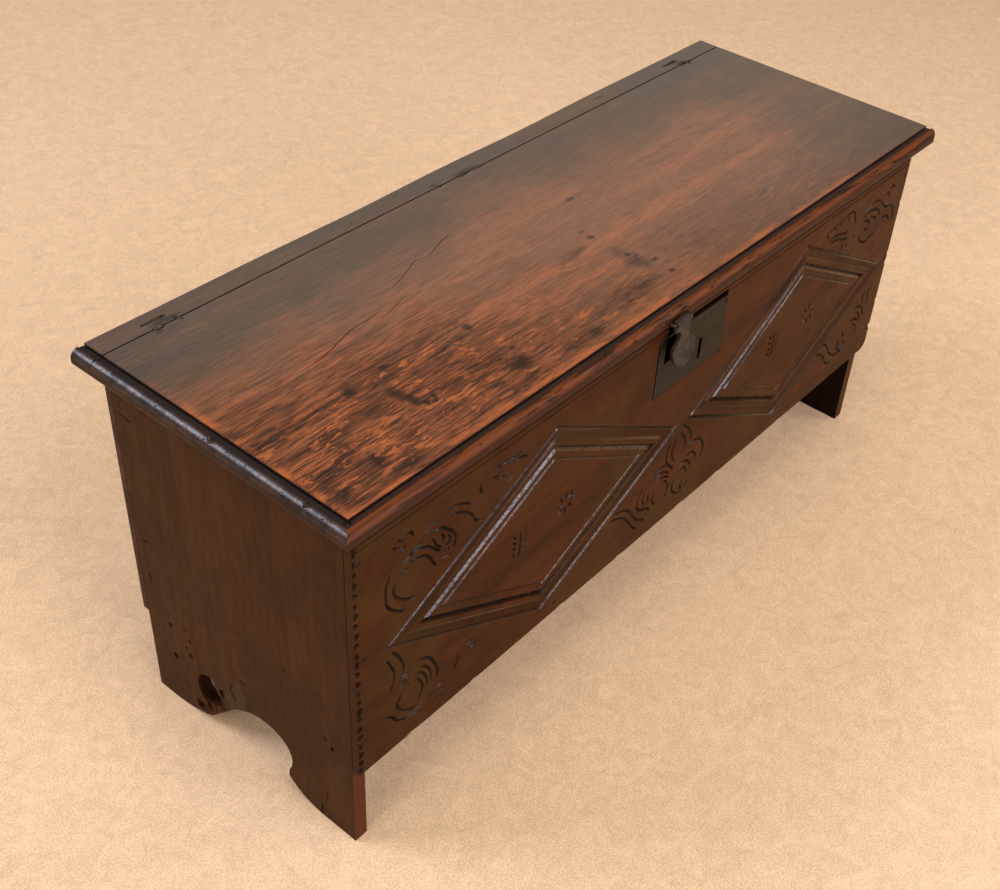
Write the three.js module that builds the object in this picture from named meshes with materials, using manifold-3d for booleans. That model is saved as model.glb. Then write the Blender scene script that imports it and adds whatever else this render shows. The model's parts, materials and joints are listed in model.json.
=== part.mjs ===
// A boarded coffer chest: four oak boards and a bottom nailed together, the end boards running down to form
// the feet. The moulded lid turns on two pairs of interlocked wire eyes. An iron lock plate is let into the
// front, with its works in a mortise behind it, and a pear-shaped hasp hangs from a staple in the lid's edge.
// Millimetres: X runs along the chest, Y from front to back and Z up. The origin lies on the floor, under
// the middle of the whole piece.

import * as THREE from 'three';
import { mergeVertices } from 'three/addons/utils/BufferGeometryUtils.js';
import Module from 'manifold-3d';

const wasm = await Module();
wasm.setup();

// Overall sizes
const lidLength = 1170;
const lidDepth = 418;
const chestHeight = 504;
const lidThickness = 19;
const fitGap = 0.3;
const cutOverrun = 6;

// How far the lid stands past the boards on each side
const leftOverhang = 12;
const rightOverhang = 50;
const frontOverhang = 9;
const backOverhang = 37;

// Boards of the carcass
const frontBoardThickness = 18;
const frontLapThickness = 10.5;
const backBoardThickness = 17;
const backLapThickness = 9;
const endBoardThickness = 18;
const bottomBoardThickness = 16;
const bottomHousingDepth = 5;
const frontEdgeHeightLeft = 131;
const frontEdgeHeightRight = 143;
const frontCornerRadius = 16;
const backEdgeHeight = 133;
const bottomBoardHeight = 143;

// Feet: the cut-out between them, as shares of the end board's width and of the cut-out's rise
const archRise = 92;
const frontFootBearing = 52;
const backFootBearing = 30;
const ogeeFootShares = [0.25, 0.02];
const ogeeTipShares = [0.314, 0.26];
const nibShares = [0.312, 0.39];
const frontLobeShares = [[0.262, 0.7], [0.31, 1]];
const crownShares = [0.41, 1];
const backLobeShares = [[0.53, 1], [0.6, 0.66]];
const backLobeTipShares = [0.71, 0.2];
const backFootShares = [0.79, 0.04];
const mouseHoleHalfWidth = 20;
const mouseHoleHalfHeight = 26;
const mouseHoleShare = 0.712;
const mouseHoleHeight = 64;

// Lid: moulded along the front and left edges, with a narrow strip joined on behind
const rearStripWidth = 32;
const mouldingWidth = 19;
const noseWidth = 10;
const noseHeight = 12;
const noseDrop = 0.8;
const channelDepth = 3.2;
const channelProfileShares = [[0.568, 0.69], [0.737, 0.81], [0.926, 0.75], [0.968, 1], [1.021, 0]];
const undercutWidth = 3;
const undercutHeight = 4;
const stripWaveDepth = 2.6;
const stripWaves = 3.4;
const stripWaveSteps = 28;
const lidCornerRadius = 9;
const dowelRadius = 4;
const dowelLength = 44;
const dowelInStrip = 19;
const dowelShares = [-0.35, -0.13, 0.12, 0.34];

// Hinges: an eye of wire in the back board, linked with one in the lid
const eyeWireRadius = 2;
const eyeRadius = 7;
const eyeStand = 10;
const eyeLegSpread = 4.8;
const eyeOpening = 50;
const eyeArcSteps = 10;
const wireArcSegments = 4;
const eyeStepShare = 1.3;
const leftHingeInset = 113;
const rightHingeInset = 90;
const clenchSink = 1;
const longClench = 34;
const shortClench = 15;
const backClench = 16;

// Nails: forged, with a small head sunk just under the surface
const nailHeadRadius = 3.2;
const nailHeadHeight = 1.8;
const nailShankRadius = 1.6;
const nailTipRadius = 0.8;
const nailSink = 0.4;
const nailSides = 6;
const cornerNailLength = 42;
const bottomNailLength = 34;
const lockNailLength = 13;
const cornerNailShares = [0.12, 0.5, 0.9];
const longNailShares = [0.3, 0.7];
const endNailShares = [0.12, 0.8];

// Lock plate, let in flush with the front board's face
const lockPlateWidth = 142;
const lockPlateHeight = 86;
const lockPlateThickness = 2.5;
const lockPlateDrop = 24;
const lockPlateCentreX = -3;
const lockNailInset = 5.5;
const keyholeWidth = 7;
const keyholeHeight = 33;
const keyAxisX = 17;
const keyAxisDrop = 42.5;
const mortiseDepth = 14;
const mortiseRim = 3;
const mortiseLeftReach = 60;
const mortiseRightReach = 61;
const mortiseHeight = 70;
const topNotchDepth = 12;
const topNotchHeight = 9;
const topNotchLeft = 11;
const topNotchRight = 69;
const slotNotchHeight = 17;
const slotNotchLeft = 15;
const slotNotchRight = 3;

// Run mouldings on the front board: corners as shares of the board's length and of its height above the
// bottom board. Each lozenge is a flat band between two borders. A border has a V, a ridge, and a long slope
// that falls away from the ridge to a steep step. The inner border is the outer one turned round.
const lozengeShares = [
  [[0.038, 0.462], [0.275, 0.05], [0.512, 0.442], [0.281, 0.881]],
  [[0.533, 0.442], [0.746, 0.067], [0.983, 0.486], [0.754, 0.89]],
];
const borderWidth = 15;
const borderDepth = 2.8;
const innerBorderInset = 32;
const outerProfileShares = [[0, 0], [0.1, 0.85], [0.21, 0.12], [0.85, 1], [1, 0]];
const innerProfileShares = [[0, 0], [0.15, 1], [0.79, 0.12], [0.9, 0.85], [1, 0]];
const scratchLineWidth = 2;
const scratchLineDepth = 1.6;
const scratchLineDrops = [11, 19];

// Lock works behind the plate
const boltHeight = 8;
const boltThickness = 4;
const boltThrow = 13;
const boltHeadGap = 1.5;
const boltLength = 92;
const talonWidth = 14;
const talonDepth = 4;
const keeperWidth = 6;
const keeperWall = 2.5;
const leftKeeperX = -22;
const rightKeeperX = 39;
const runningGap = 0.5;
const springThickness = 1.2;
const springDepth = 3.2;
const springFootLength = 9;
const springLength = 44;
const springRise = 5;
const springFootX = -9;
const capWidth = 58;
const capHeight = 42;
const capThickness = 2;
const capFoot = 4;
const capHoleRadius = 4;
const wardRadius = 14;
const wardThickness = 1.5;
const wardDepth = 4;
const wardOpening = 50;

// Hasp and the staple it hangs from
const haspCentreX = -58.5;
const haspNeckLean = 6;
const haspLean = 8;
const haspThickness = 4;
const haspKnuckleWidth = 29;
const haspHeadDrop = 12;
const haspNeckWidth = 17;
const haspNeckDrop = 19;
const haspWidth = 46;
const haspLength = 64;
const haspToeKick = 5;
const haspBendShare = 0.6;
const haspKnuckleWall = 2.4;
const haspPivotStand = 6.4;
const haspPivotDrop = 12.5;
const stapleWireRadius = 2;
const stapleSideGap = 1;
const stapleLegDepth = 26;
const stapleBend = 4;
const loopThickness = 5;
const loopReach = 11.2;
const loopEnd = 3;
const loopHoleHeight = 11;
const loopWall = 3;
const loopOffset = 13.5;
const loopDrop = 54;
const loopRise = 4;
const slotLeftReach = 16;
const slotRightReach = 6;
const slotHeight = 36;

// Places worked out from the sizes above
const haspReach = haspPivotStand + haspThickness / 2 + haspToeKick;
const lidFront = (haspReach - lidDepth) / 2;
const lidBack = lidFront + lidDepth;
const lidLeft = -lidLength / 2;
const lidRight = lidLength / 2;
const lidUnderside = chestHeight - lidThickness;
const left = lidLeft + leftOverhang;
const right = lidRight - rightOverhang;
const front = lidFront + frontOverhang;
const back = lidBack - backOverhang;
const boardTop = lidUnderside - fitGap;
const endFront = front + frontLapThickness + fitGap;
const endBack = back - backLapThickness - fitGap;
const frontInside = front + frontBoardThickness;
const backInside = back - backBoardThickness;
const leftInside = left + endBoardThickness;
const rightInside = right - endBoardThickness;
const stripJoint = lidBack - rearStripWidth;
const hingeAxisY = back + eyeStand + eyeRadius;
const hingeAxisZ = lidUnderside - eyeStand;
const hingeXs = { left: lidLeft + leftHingeInset, right: lidRight - rightHingeInset };
const haspAxisY = lidFront - haspPivotStand;
const haspAxisZ = chestHeight - haspPivotDrop;
const loopX = haspCentreX + loopOffset;
const loopMiddleZ = haspAxisZ - loopDrop;
const boltMiddleZ = loopMiddleZ + loopRise;
const slotMiddleZ = (loopMiddleZ + boltMiddleZ) / 2;
const lockPlateTop = lidUnderside - lockPlateDrop;
const keyAxisHeight = lockPlateTop - keyAxisDrop;
const plateBack = front + lockPlateThickness;
const mortiseBack = front + mortiseDepth;
const boltFront = plateBack + runningGap;
const boltLeft = loopX + slotRightReach + boltHeadGap;

// Finishes
const oakFinish = (color, roughness) => new THREE.MeshStandardMaterial({ color, roughness, metalness: 0 });
const frontOak = oakFinish(0x54301e, 0.42);
const endOak = oakFinish(0x3b2820, 0.45);
const topOak = oakFinish(0x7a4128, 0.36);
const innerOak = oakFinish(0x5b4432, 0.8);
const blackIron = new THREE.MeshStandardMaterial({ color: 0x2c2826, roughness: 0.55, metalness: 0.85 });
const nailIron = new THREE.MeshStandardMaterial({ color: 0x1f1b19, roughness: 0.7, metalness: 0.7 });

// Turns a closed three.js geometry into a solid that can be cut and joined.
function toSolid(geometry) {
  geometry.deleteAttribute('normal');
  geometry.deleteAttribute('uv');
  const merged = mergeVertices(geometry);
  return new wasm.Manifold(new wasm.Mesh({
    numProp: 3,
    vertProperties: new Float32Array(merged.attributes.position.array),
    triVerts: new Uint32Array(merged.index.array),
  }));
}

// Extrudes an outline through a depth, then lays its three directions along the given ones.
function extrude(shape, depth, across, up, along, start, curveSegments = 8) {
  const geometry = new THREE.ExtrudeGeometry(shape, { depth, bevelEnabled: false, curveSegments });
  geometry.applyMatrix4(new THREE.Matrix4().makeBasis(across, up, along));
  geometry.translate(start.x, start.y, start.z);
  return toSolid(geometry);
}

const alongX = new THREE.Vector3(1, 0, 0);
const alongY = new THREE.Vector3(0, 1, 0);
const alongZ = new THREE.Vector3(0, 0, 1);
const towardsFront = new THREE.Vector3(0, -1, 0);
const towardsLeft = new THREE.Vector3(-1, 0, 0);

// An outline in Y and Z, extruded from one X to another.
function extrudeX(shape, low, high, curveSegments) {
  return extrude(shape, high - low, alongY, alongZ, alongX, new THREE.Vector3(low, 0, 0), curveSegments);
}

// An outline in X and Z, extruded from one Y to another.
function extrudeY(shape, low, high, curveSegments) {
  return extrude(shape, high - low, alongX, alongZ, towardsFront, new THREE.Vector3(0, high, 0), curveSegments);
}

// An outline in X and Y, extruded from one Z to another.
function extrudeZ(shape, low, high, curveSegments) {
  return extrude(shape, high - low, alongX, alongY, alongZ, new THREE.Vector3(0, 0, low), curveSegments);
}

// A plain block between two corners.
function block(x0, x1, y0, y1, z0, z1) {
  const geometry = new THREE.BoxGeometry(x1 - x0, y1 - y0, z1 - z0);
  geometry.translate((x0 + x1) / 2, (y0 + y1) / 2, (z0 + z1) / 2);
  return toSolid(geometry);
}

// A closed outline through a list of points.
function outlineOf(points) {
  return new THREE.Shape(points.map(([u, v]) => new THREE.Vector2(u, v)));
}

// Round wire along a smooth path through a list of points.
function wire(points, radius, stepLength) {
  const path = new THREE.CatmullRomCurve3(points, false, 'centripetal');
  const section = new THREE.Shape();
  section.absarc(0, 0, radius, 0, 2 * Math.PI);
  const steps = Math.ceil(path.getLength() / stepLength);
  return toSolid(new THREE.ExtrudeGeometry(section, { steps, extrudePath: path, curveSegments: wireArcSegments }));
}

// A forged nail at a point, its head facing along a direction. With a gap it is the hole that the nail fills.
function nail(point, facing, length, gap = 0) {
  const top = gap > 0 ? cutOverrun : 0;
  const profile = [
    [0, -length - gap],
    [nailTipRadius + gap, -length - gap],
    [nailShankRadius + gap, -nailHeadHeight],
    [nailHeadRadius + gap, -gap],
    [nailHeadRadius + gap, top],
    [0, top],
  ];
  const outline = gap > 0 ? profile : [...profile.slice(0, 3), [nailHeadRadius, -nailSink], [0, 0]];
  const geometry = new THREE.LatheGeometry(outline.map(([r, y]) => new THREE.Vector2(r, y)), nailSides);
  geometry.applyQuaternion(new THREE.Quaternion().setFromUnitVectors(alongY, facing));
  const sunk = point.clone().addScaledVector(facing, -nailSink);
  geometry.translate(sunk.x, sunk.y, sunk.z);
  return toSolid(geometry);
}

// A row of nails that share a direction and a length, with the holes that they fill.
function nailRow(points, facing, length) {
  return {
    nails: points.map((point) => nail(point, facing, length)),
    holes: union(points.map((point) => nail(point, facing, length, fitGap))),
  };
}

function union(solids) {
  return solids.reduce((joined, solid) => joined.add(solid));
}

function subtractAll(solid, cutters) {
  return cutters.reduce((rest, cutter) => rest.subtract(cutter), solid);
}

// A named mesh in the group that it moves with; the group's place is the point that it turns about.
function addPiece(parent, name, solid, material) {
  const { vertProperties, triVerts } = solid.getMesh();
  const geometry = new THREE.BufferGeometry();
  geometry.setAttribute('position', new THREE.BufferAttribute(vertProperties, 3));
  geometry.setIndex(new THREE.BufferAttribute(triVerts, 1));
  const pivot = parent.getWorldPosition(new THREE.Vector3());
  geometry.translate(-pivot.x, -pivot.y, -pivot.z);
  geometry.computeVertexNormals();
  const mesh = new THREE.Mesh(geometry, material);
  mesh.name = name;
  parent.add(mesh);
}

// Pieces that are alike, numbered from one.
function addRow(parent, name, solids, material) {
  solids.forEach((solid, i) => addPiece(parent, `${name}_${i + 1}`, solid, material));
}

// A group that turns or slides about a point of the chest.
function pivotGroup(parent, x, y, z) {
  const group = new THREE.Group();
  const base = parent.getWorldPosition(new THREE.Vector3());
  group.position.set(x - base.x, y - base.y, z - base.z);
  parent.add(group);
  group.updateWorldMatrix(true, false);
  return group;
}

// The eye's wire before it is set in place: a ring about the origin, with two legs standing up out of it that
// are clenched over at their ends. The clenches are vectors from the top of each leg.
function eyePath(legLength, firstClench, secondClench) {
  const side = eyeLegSpread / 2;
  const opening = THREE.MathUtils.degToRad(eyeOpening);
  const top = eyeStand + legLength;
  const bend = 2 * eyeWireRadius;
  const ring = Array.from({ length: eyeArcSteps + 1 }, (_, i) => {
    const angle = opening + (2 * Math.PI - 2 * opening) * i / eyeArcSteps;
    return new THREE.Vector3(eyeRadius * Math.sin(angle), 0, eyeRadius * Math.cos(angle));
  });
  const leg = (x, clench) => {
    const turn = new THREE.Vector3(x, 0, top);
    return [
      new THREE.Vector3(x, 0, eyeStand),
      new THREE.Vector3(x, 0, top - bend),
      turn.clone().addScaledVector(clench.clone().normalize(), bend),
      turn.clone().add(clench),
    ];
  };
  return [...leg(side, firstClench).reverse(), ...ring, ...leg(-side, secondClench)];
}

// An eye's wire, turned and set in place; a gap makes it the hole that the wire fills.
function eyeWire(path, orient, centre, gap = 0) {
  const points = path.map((point) => point.clone().applyMatrix4(orient).add(centre));
  return wire(points, eyeWireRadius + gap, eyeWireRadius * eyeStepShare);
}

// One hinge: the back board's eye lies flat, the lid's eye stands up through it.
function hingeEyes(x) {
  const backLegs = backBoardThickness + eyeWireRadius;
  const backPath = eyePath(
    backLegs,
    new THREE.Vector3(backClench, 0, 0),
    new THREE.Vector3(-backClench, 0, 0),
  );
  const flat = new THREE.Matrix4().makeBasis(alongX, alongZ.clone().negate(), towardsFront);
  const backCentre = new THREE.Vector3(x, hingeAxisY - eyeRadius, hingeAxisZ);
  const lidLegs = lidThickness - clenchSink;
  const lidPath = eyePath(
    lidLegs,
    new THREE.Vector3(0, longClench, 0),
    new THREE.Vector3(-shortClench, -shortClench / 2, 0),
  );
  const upright = new THREE.Matrix4().makeBasis(alongY, towardsLeft, alongZ);
  const lidCentre = new THREE.Vector3(x, hingeAxisY, hingeAxisZ);
  return {
    backEye: eyeWire(backPath, flat, backCentre),
    backHole: eyeWire(backPath, flat, backCentre, fitGap),
    lidEye: eyeWire(lidPath, upright, lidCentre),
    lidHole: eyeWire(lidPath, upright, lidCentre, fitGap),
  };
}

// The end board: a ledge at the bottom for each foot and an ogee cut-out between them.
function endBoardOutline() {
  const width = endBack - endFront;
  const at = ([across, up]) => [endFront + across * width, up * archRise];
  const shape = new THREE.Shape();
  shape.moveTo(endFront, 0);
  shape.lineTo(endFront + frontFootBearing, 0);
  shape.quadraticCurveTo(...at(ogeeFootShares), ...at(ogeeTipShares));
  shape.lineTo(...at(nibShares));
  shape.bezierCurveTo(...at(frontLobeShares[0]), ...at(frontLobeShares[1]), ...at(crownShares));
  shape.bezierCurveTo(...at(backLobeShares[0]), ...at(backLobeShares[1]), ...at(backLobeTipShares));
  shape.quadraticCurveTo(...at(backFootShares), endBack - backFootBearing, 0);
  shape.lineTo(endBack, 0);
  shape.lineTo(endBack, boardTop);
  shape.lineTo(endFront, boardTop);
  shape.closePath();
  return shape;
}

function endBoard(outside, inside) {
  const board = extrudeX(endBoardOutline(), Math.min(outside, inside), Math.max(outside, inside));
  const intoBoard = Math.sign(outside - inside) * bottomHousingDepth;
  const housing = [
    inside - Math.sign(outside - inside) * cutOverrun,
    inside + intoBoard + Math.sign(intoBoard) * fitGap,
  ];
  return board.subtract(block(
    Math.min(...housing),
    Math.max(...housing),
    endFront - cutOverrun,
    endBack + cutOverrun,
    bottomBoardHeight - fitGap,
    bottomBoardHeight + bottomBoardThickness + fitGap,
  ));
}

function mouseHole() {
  const shape = new THREE.Shape();
  const middle = endFront + mouseHoleShare * (endBack - endFront);
  shape.absellipse(middle, mouseHoleHeight, mouseHoleHalfWidth, mouseHoleHalfHeight, 0, 2 * Math.PI);
  return extrudeX(shape, left - cutOverrun, leftInside + cutOverrun, 9);
}

// A front or back board, rebated at both ends so that only a thin lap covers the end board's edge.
function rebatedBoard(outline, outer, inner, lap) {
  const facing = Math.sign(inner - outer);
  const lapFace = outer + facing * lap;
  const beyond = inner + facing * cutOverrun;
  const board = extrudeY(outline, Math.min(outer, inner), Math.max(outer, inner), 5);
  const rebate = (x0, x1) => block(
    x0,
    x1,
    Math.min(lapFace, beyond),
    Math.max(lapFace, beyond),
    -cutOverrun,
    chestHeight,
  );
  return subtractAll(board, [
    rebate(left - cutOverrun, leftInside + fitGap),
    rebate(rightInside - fitGap, right + cutOverrun),
  ]);
}

function frontOutline() {
  const shape = new THREE.Shape();
  shape.moveTo(left, frontEdgeHeightLeft);
  shape.lineTo(right - frontCornerRadius, frontEdgeHeightRight);
  shape.quadraticCurveTo(right, frontEdgeHeightRight, right, frontEdgeHeightRight + frontCornerRadius);
  shape.lineTo(right, boardTop);
  shape.lineTo(left, boardTop);
  shape.closePath();
  return shape;
}

// The lid's full section along one edge: a rounded nose with a small undercut below it.
function mouldedSection(edge, far) {
  const top = chestHeight;
  const shape = new THREE.Shape();
  shape.moveTo(edge + undercutWidth, lidUnderside);
  shape.quadraticCurveTo(edge, lidUnderside, edge, lidUnderside + undercutHeight);
  shape.lineTo(edge, top - noseHeight);
  shape.quadraticCurveTo(edge, top - noseDrop, edge + noseWidth, top - noseDrop);
  shape.lineTo(edge + mouldingWidth, top - noseDrop);
  shape.lineTo(edge + mouldingWidth, top);
  shape.lineTo(far, top);
  shape.lineTo(far, lidUnderside);
  shape.closePath();
  return shape;
}

// The hollow between the nose and the lid's field, with a quirk beside the field. It runs along the front and
// the left edge with a mitre, and past the lid's other two edges.
function mouldingChannel() {
  const pastRight = lidRight + 2 * mouldingWidth;
  const pastBack = lidBack + 2 * mouldingWidth;
  const outline = [[lidLeft, lidFront], [pastRight, lidFront], [pastRight, pastBack], [lidLeft, pastBack]];
  return runCutter(
    outline.map(([x, y]) => new THREE.Vector2(x, y)),
    channelProfileShares.map(([across, deep]) => [across * mouldingWidth, deep * channelDepth]),
    (corner, deep) => [corner.x, corner.y, chestHeight - deep],
  );
}

function lidBoards() {
  const frontEdge = extrudeX(mouldedSection(lidFront, lidBack), lidLeft, lidRight, 6);
  const leftSection = mouldedSection(lidLeft, lidRight + cutOverrun);
  const leftEdge = extrudeY(leftSection, lidFront - cutOverrun, lidBack + cutOverrun, 6);
  const moulded = frontEdge.intersect(leftEdge).subtract(mouldingChannel());
  const wavyEdge = Array.from({ length: stripWaveSteps + 1 }, (_, i) => {
    const share = i / stripWaveSteps;
    const dip = (1 + Math.sin(2 * Math.PI * stripWaves * share)) * (1 - Math.cos(2 * Math.PI * share)) / 4;
    return [lidRight - share * lidLength, lidBack - stripWaveDepth * dip];
  });
  const stripStart = stripJoint + fitGap / 2;
  const stripOutline = outlineOf([[lidLeft, stripStart], [lidRight, stripStart], ...wavyEdge]);
  const fieldEnd = stripJoint - fitGap / 2;
  const fieldOutline = new THREE.Shape();
  fieldOutline.moveTo(lidLeft, lidFront);
  fieldOutline.lineTo(lidRight - lidCornerRadius, lidFront);
  fieldOutline.quadraticCurveTo(lidRight, lidFront, lidRight, lidFront + lidCornerRadius);
  fieldOutline.lineTo(lidRight, fieldEnd);
  fieldOutline.lineTo(lidLeft, fieldEnd);
  fieldOutline.closePath();
  return {
    field: moulded.intersect(extrudeZ(fieldOutline, lidUnderside, chestHeight, 4)),
    strip: moulded.intersect(extrudeZ(stripOutline, lidUnderside, chestHeight)),
  };
}

// Round pegs across the joint between the lid's field and its rear strip.
function dowels(gap) {
  const low = stripJoint - (dowelLength - dowelInStrip) - gap;
  const high = stripJoint + dowelInStrip + gap;
  return dowelShares.map((share) => {
    const section = new THREE.Shape();
    section.absarc(share * lidLength, chestHeight - lidThickness / 2, dowelRadius + gap, 0, 2 * Math.PI);
    return extrudeY(section, low, high, 5);
  });
}

// The direction in from one side of an outline whose corners run counter-clockwise.
function inwards(from, to) {
  return new THREE.Vector2(from.y - to.y, to.x - from.x).normalize();
}

// An outline's corners, moved in by the same distance from every side.
function insetCorners(corners, distance) {
  return corners.map((corner, i) => {
    const first = inwards(corners.at(i - 1), corner);
    const second = inwards(corner, corners[(i + 1) % corners.length]);
    const reach = distance / (1 + first.dot(second));
    return corner.clone().addScaledVector(first.add(second), reach);
  });
}

// What a moulding takes out of a face: its profile, run round an outline with mitred corners. The profile's
// points are the distance in from the outline and the depth below the face.
function runCutter(corners, profile, place) {
  const closed = [...profile, [profile.at(-1)[0], -cutOverrun], [profile[0][0], -cutOverrun]];
  const rings = closed.map(([across, deep]) => (
    insetCorners(corners, across).map((corner) => place(corner, deep))
  ));
  const vertex = (k, i) => (k % rings.length) * corners.length + i % corners.length;
  const index = rings.flatMap((_, k) => corners.flatMap((_, i) => [
    vertex(k, i), vertex(k + 1, i), vertex(k + 1, i + 1),
    vertex(k, i), vertex(k + 1, i + 1), vertex(k, i + 1),
  ]));
  const geometry = new THREE.BufferGeometry();
  geometry.setAttribute('position', new THREE.Float32BufferAttribute(rings.flat(2), 3));
  geometry.setIndex(index);
  return toSolid(geometry);
}

function lozengeBorders() {
  return lozengeShares.flatMap((shares) => {
    const corners = shares.map(([along, up]) => new THREE.Vector2(
      left + along * (right - left),
      bottomBoardHeight + up * (boardTop - bottomBoardHeight),
    ));
    const cutter = (profileShares, inset) => runCutter(
      corners,
      profileShares.map(([across, deep]) => [inset + across * borderWidth, deep * borderDepth]),
      (corner, deep) => [corner.x, front + deep, corner.y],
    );
    return [cutter(outerProfileShares, 0), cutter(innerProfileShares, innerBorderInset)];
  });
}

// Two lines scratched along the front board under the lid.
function scratchLines() {
  return scratchLineDrops.map((drop) => {
    const z = lidUnderside - drop;
    return extrudeX(outlineOf([
      [front + scratchLineDepth, z],
      [front, z + scratchLineWidth / 2],
      [front - cutOverrun, z + scratchLineWidth / 2],
      [front - cutOverrun, z - scratchLineWidth / 2],
      [front, z - scratchLineWidth / 2],
    ]), left - cutOverrun, right + cutOverrun);
  });
}

function lockPlate(gap) {
  const halfWidth = lockPlateWidth / 2 + gap;
  const middle = lockPlateTop - lockPlateHeight / 2;
  const halfHeight = lockPlateHeight / 2 + gap;
  return block(
    lockPlateCentreX - halfWidth,
    lockPlateCentreX + halfWidth,
    gap > 0 ? front - cutOverrun : front,
    plateBack,
    middle - halfHeight,
    middle + halfHeight,
  );
}

// The narrow slot for the key, round at both ends.
function keyhole() {
  const radius = keyholeWidth / 2;
  const shape = new THREE.Shape();
  shape.absarc(keyAxisX, keyAxisHeight, radius, 0, Math.PI);
  shape.absarc(keyAxisX, keyAxisHeight - keyholeHeight + keyholeWidth, radius, Math.PI, 2 * Math.PI);
  shape.closePath();
  return extrudeY(shape, front - cutOverrun, plateBack + cutOverrun, 5);
}

function haspSlot() {
  return block(
    loopX - slotLeftReach,
    loopX + slotRightReach,
    front - cutOverrun,
    plateBack + cutOverrun,
    slotMiddleZ - slotHeight / 2,
    slotMiddleZ + slotHeight / 2,
  );
}

function lockMortise() {
  return block(
    lockPlateCentreX - mortiseLeftReach,
    lockPlateCentreX + mortiseRightReach,
    front - cutOverrun,
    mortiseBack,
    lockPlateTop - mortiseRim - mortiseHeight,
    lockPlateTop - mortiseRim,
  );
}

// A long notch in the board over the plate, where a catch once dropped in.
function topNotch() {
  return block(
    lockPlateCentreX - topNotchLeft,
    lockPlateCentreX + topNotchRight,
    front - cutOverrun,
    front + topNotchDepth,
    lockPlateTop + fitGap,
    lockPlateTop + topNotchHeight,
  );
}

// The hasp's slot is carried up into the wood over the plate, behind the hasp's neck.
function slotNotch() {
  return block(
    loopX - slotNotchLeft,
    loopX - slotNotchRight,
    front - cutOverrun,
    front + topNotchDepth,
    lockPlateTop - mortiseRim,
    lockPlateTop + slotNotchHeight,
  );
}

// The bolt: a flat bar with a notch underneath that the key's bit pushes.
function lockBolt() {
  const low = boltMiddleZ - boltHeight / 2;
  const high = boltMiddleZ + boltHeight / 2;
  const talon = keyAxisX + boltThrow / 2;
  return extrudeY(outlineOf([
    [boltLeft, low],
    [talon - talonWidth / 2, low],
    [talon - talonWidth / 2, low + talonDepth],
    [talon + talonWidth / 2, low + talonDepth],
    [talon + talonWidth / 2, low],
    [boltLeft + boltLength, low],
    [boltLeft + boltLength, high],
    [boltLeft, high],
  ]), boltFront, boltFront + boltThickness);
}

// A bridge over the bolt that holds it to the plate.
function keeper(x) {
  const reach = boltHeight / 2 + runningGap;
  const outerBack = boltFront + boltThickness + runningGap + keeperWall;
  const bridge = block(
    x - keeperWidth / 2,
    x + keeperWidth / 2,
    plateBack + fitGap,
    outerBack,
    boltMiddleZ - reach - keeperWall,
    boltMiddleZ + reach + keeperWall,
  );
  return bridge.subtract(block(
    x - keeperWidth,
    x + keeperWidth,
    front,
    outerBack - keeperWall,
    boltMiddleZ - reach,
    boltMiddleZ + reach,
  ));
}

// A leaf spring above the bolt: its foot is riveted to the plate, its tail bears on the bolt.
function boltSpring() {
  const foot = boltMiddleZ + boltHeight / 2 + fitGap;
  const tailX = springFootX + springLength;
  const middleX = springFootX + springLength / 2;
  const shape = new THREE.Shape();
  shape.moveTo(springFootX, foot + springRise);
  shape.lineTo(springFootX + springFootLength, foot + springRise);
  shape.quadraticCurveTo(middleX, foot + springRise, tailX, foot);
  shape.lineTo(tailX, foot + springThickness);
  shape.quadraticCurveTo(
    middleX,
    foot + springRise + springThickness,
    springFootX + springFootLength,
    foot + springRise + springThickness,
  );
  shape.lineTo(springFootX, foot + springRise + springThickness);
  shape.closePath();
  return extrudeY(shape, plateBack + fitGap, plateBack + fitGap + springDepth, 5);
}

// The cap that the key's end turns in, standing on two feet behind the keyhole.
function lockCap() {
  const x0 = keyAxisX - capWidth / 2;
  const x1 = keyAxisX + capWidth / 2;
  const z1 = boltMiddleZ - boltHeight / 2 - runningGap - keeperWall;
  const capBack = mortiseBack - fitGap;
  const foot = (a, b) => block(a, b, plateBack + fitGap, capBack, z1 - capHeight, z1);
  const cap = block(x0, x1, capBack - capThickness, capBack, z1 - capHeight, z1);
  const hole = new THREE.Shape();
  hole.absarc(keyAxisX, keyAxisHeight, capHoleRadius, 0, 2 * Math.PI);
  return union([cap, foot(x0, x0 + capFoot), foot(x1 - capFoot, x1)])
    .subtract(extrudeY(hole, front, capBack + cutOverrun, 5));
}

// The ward: a curved strip on the cap that a cut in the right key's bit passes over.
function keyWard() {
  const opening = THREE.MathUtils.degToRad(wardOpening);
  const start = -Math.PI / 2 + opening;
  const end = 3 * Math.PI / 2 - opening;
  const shape = new THREE.Shape();
  shape.absarc(keyAxisX, keyAxisHeight, wardRadius, start, end);
  shape.absarc(keyAxisX, keyAxisHeight, wardRadius - wardThickness, end, start, true);
  shape.closePath();
  const capFace = mortiseBack - fitGap - capThickness - fitGap;
  return extrudeY(shape, capFace - wardDepth, capFace, 10);
}

// The staple in the lid's front edge: a bar that the hasp turns on, between two legs.
function haspStaple(gap) {
  const half = haspKnuckleWidth / 2 + stapleSideGap + stapleWireRadius;
  const at = (x, y) => new THREE.Vector3(haspCentreX + x, haspAxisY + y, haspAxisZ);
  return wire([
    at(-half, haspPivotStand + stapleLegDepth),
    at(-half, haspPivotStand),
    at(-half, stapleBend / 2),
    at(-half + stapleBend / 4, stapleBend / 8),
    at(-half + stapleBend, 0),
    at(0, 0),
    at(half - stapleBend, 0),
    at(half - stapleBend / 4, stapleBend / 8),
    at(half, stapleBend / 2),
    at(half, haspPivotStand),
    at(half, haspPivotStand + stapleLegDepth),
  ], stapleWireRadius + gap, stapleWireRadius);
}

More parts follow.
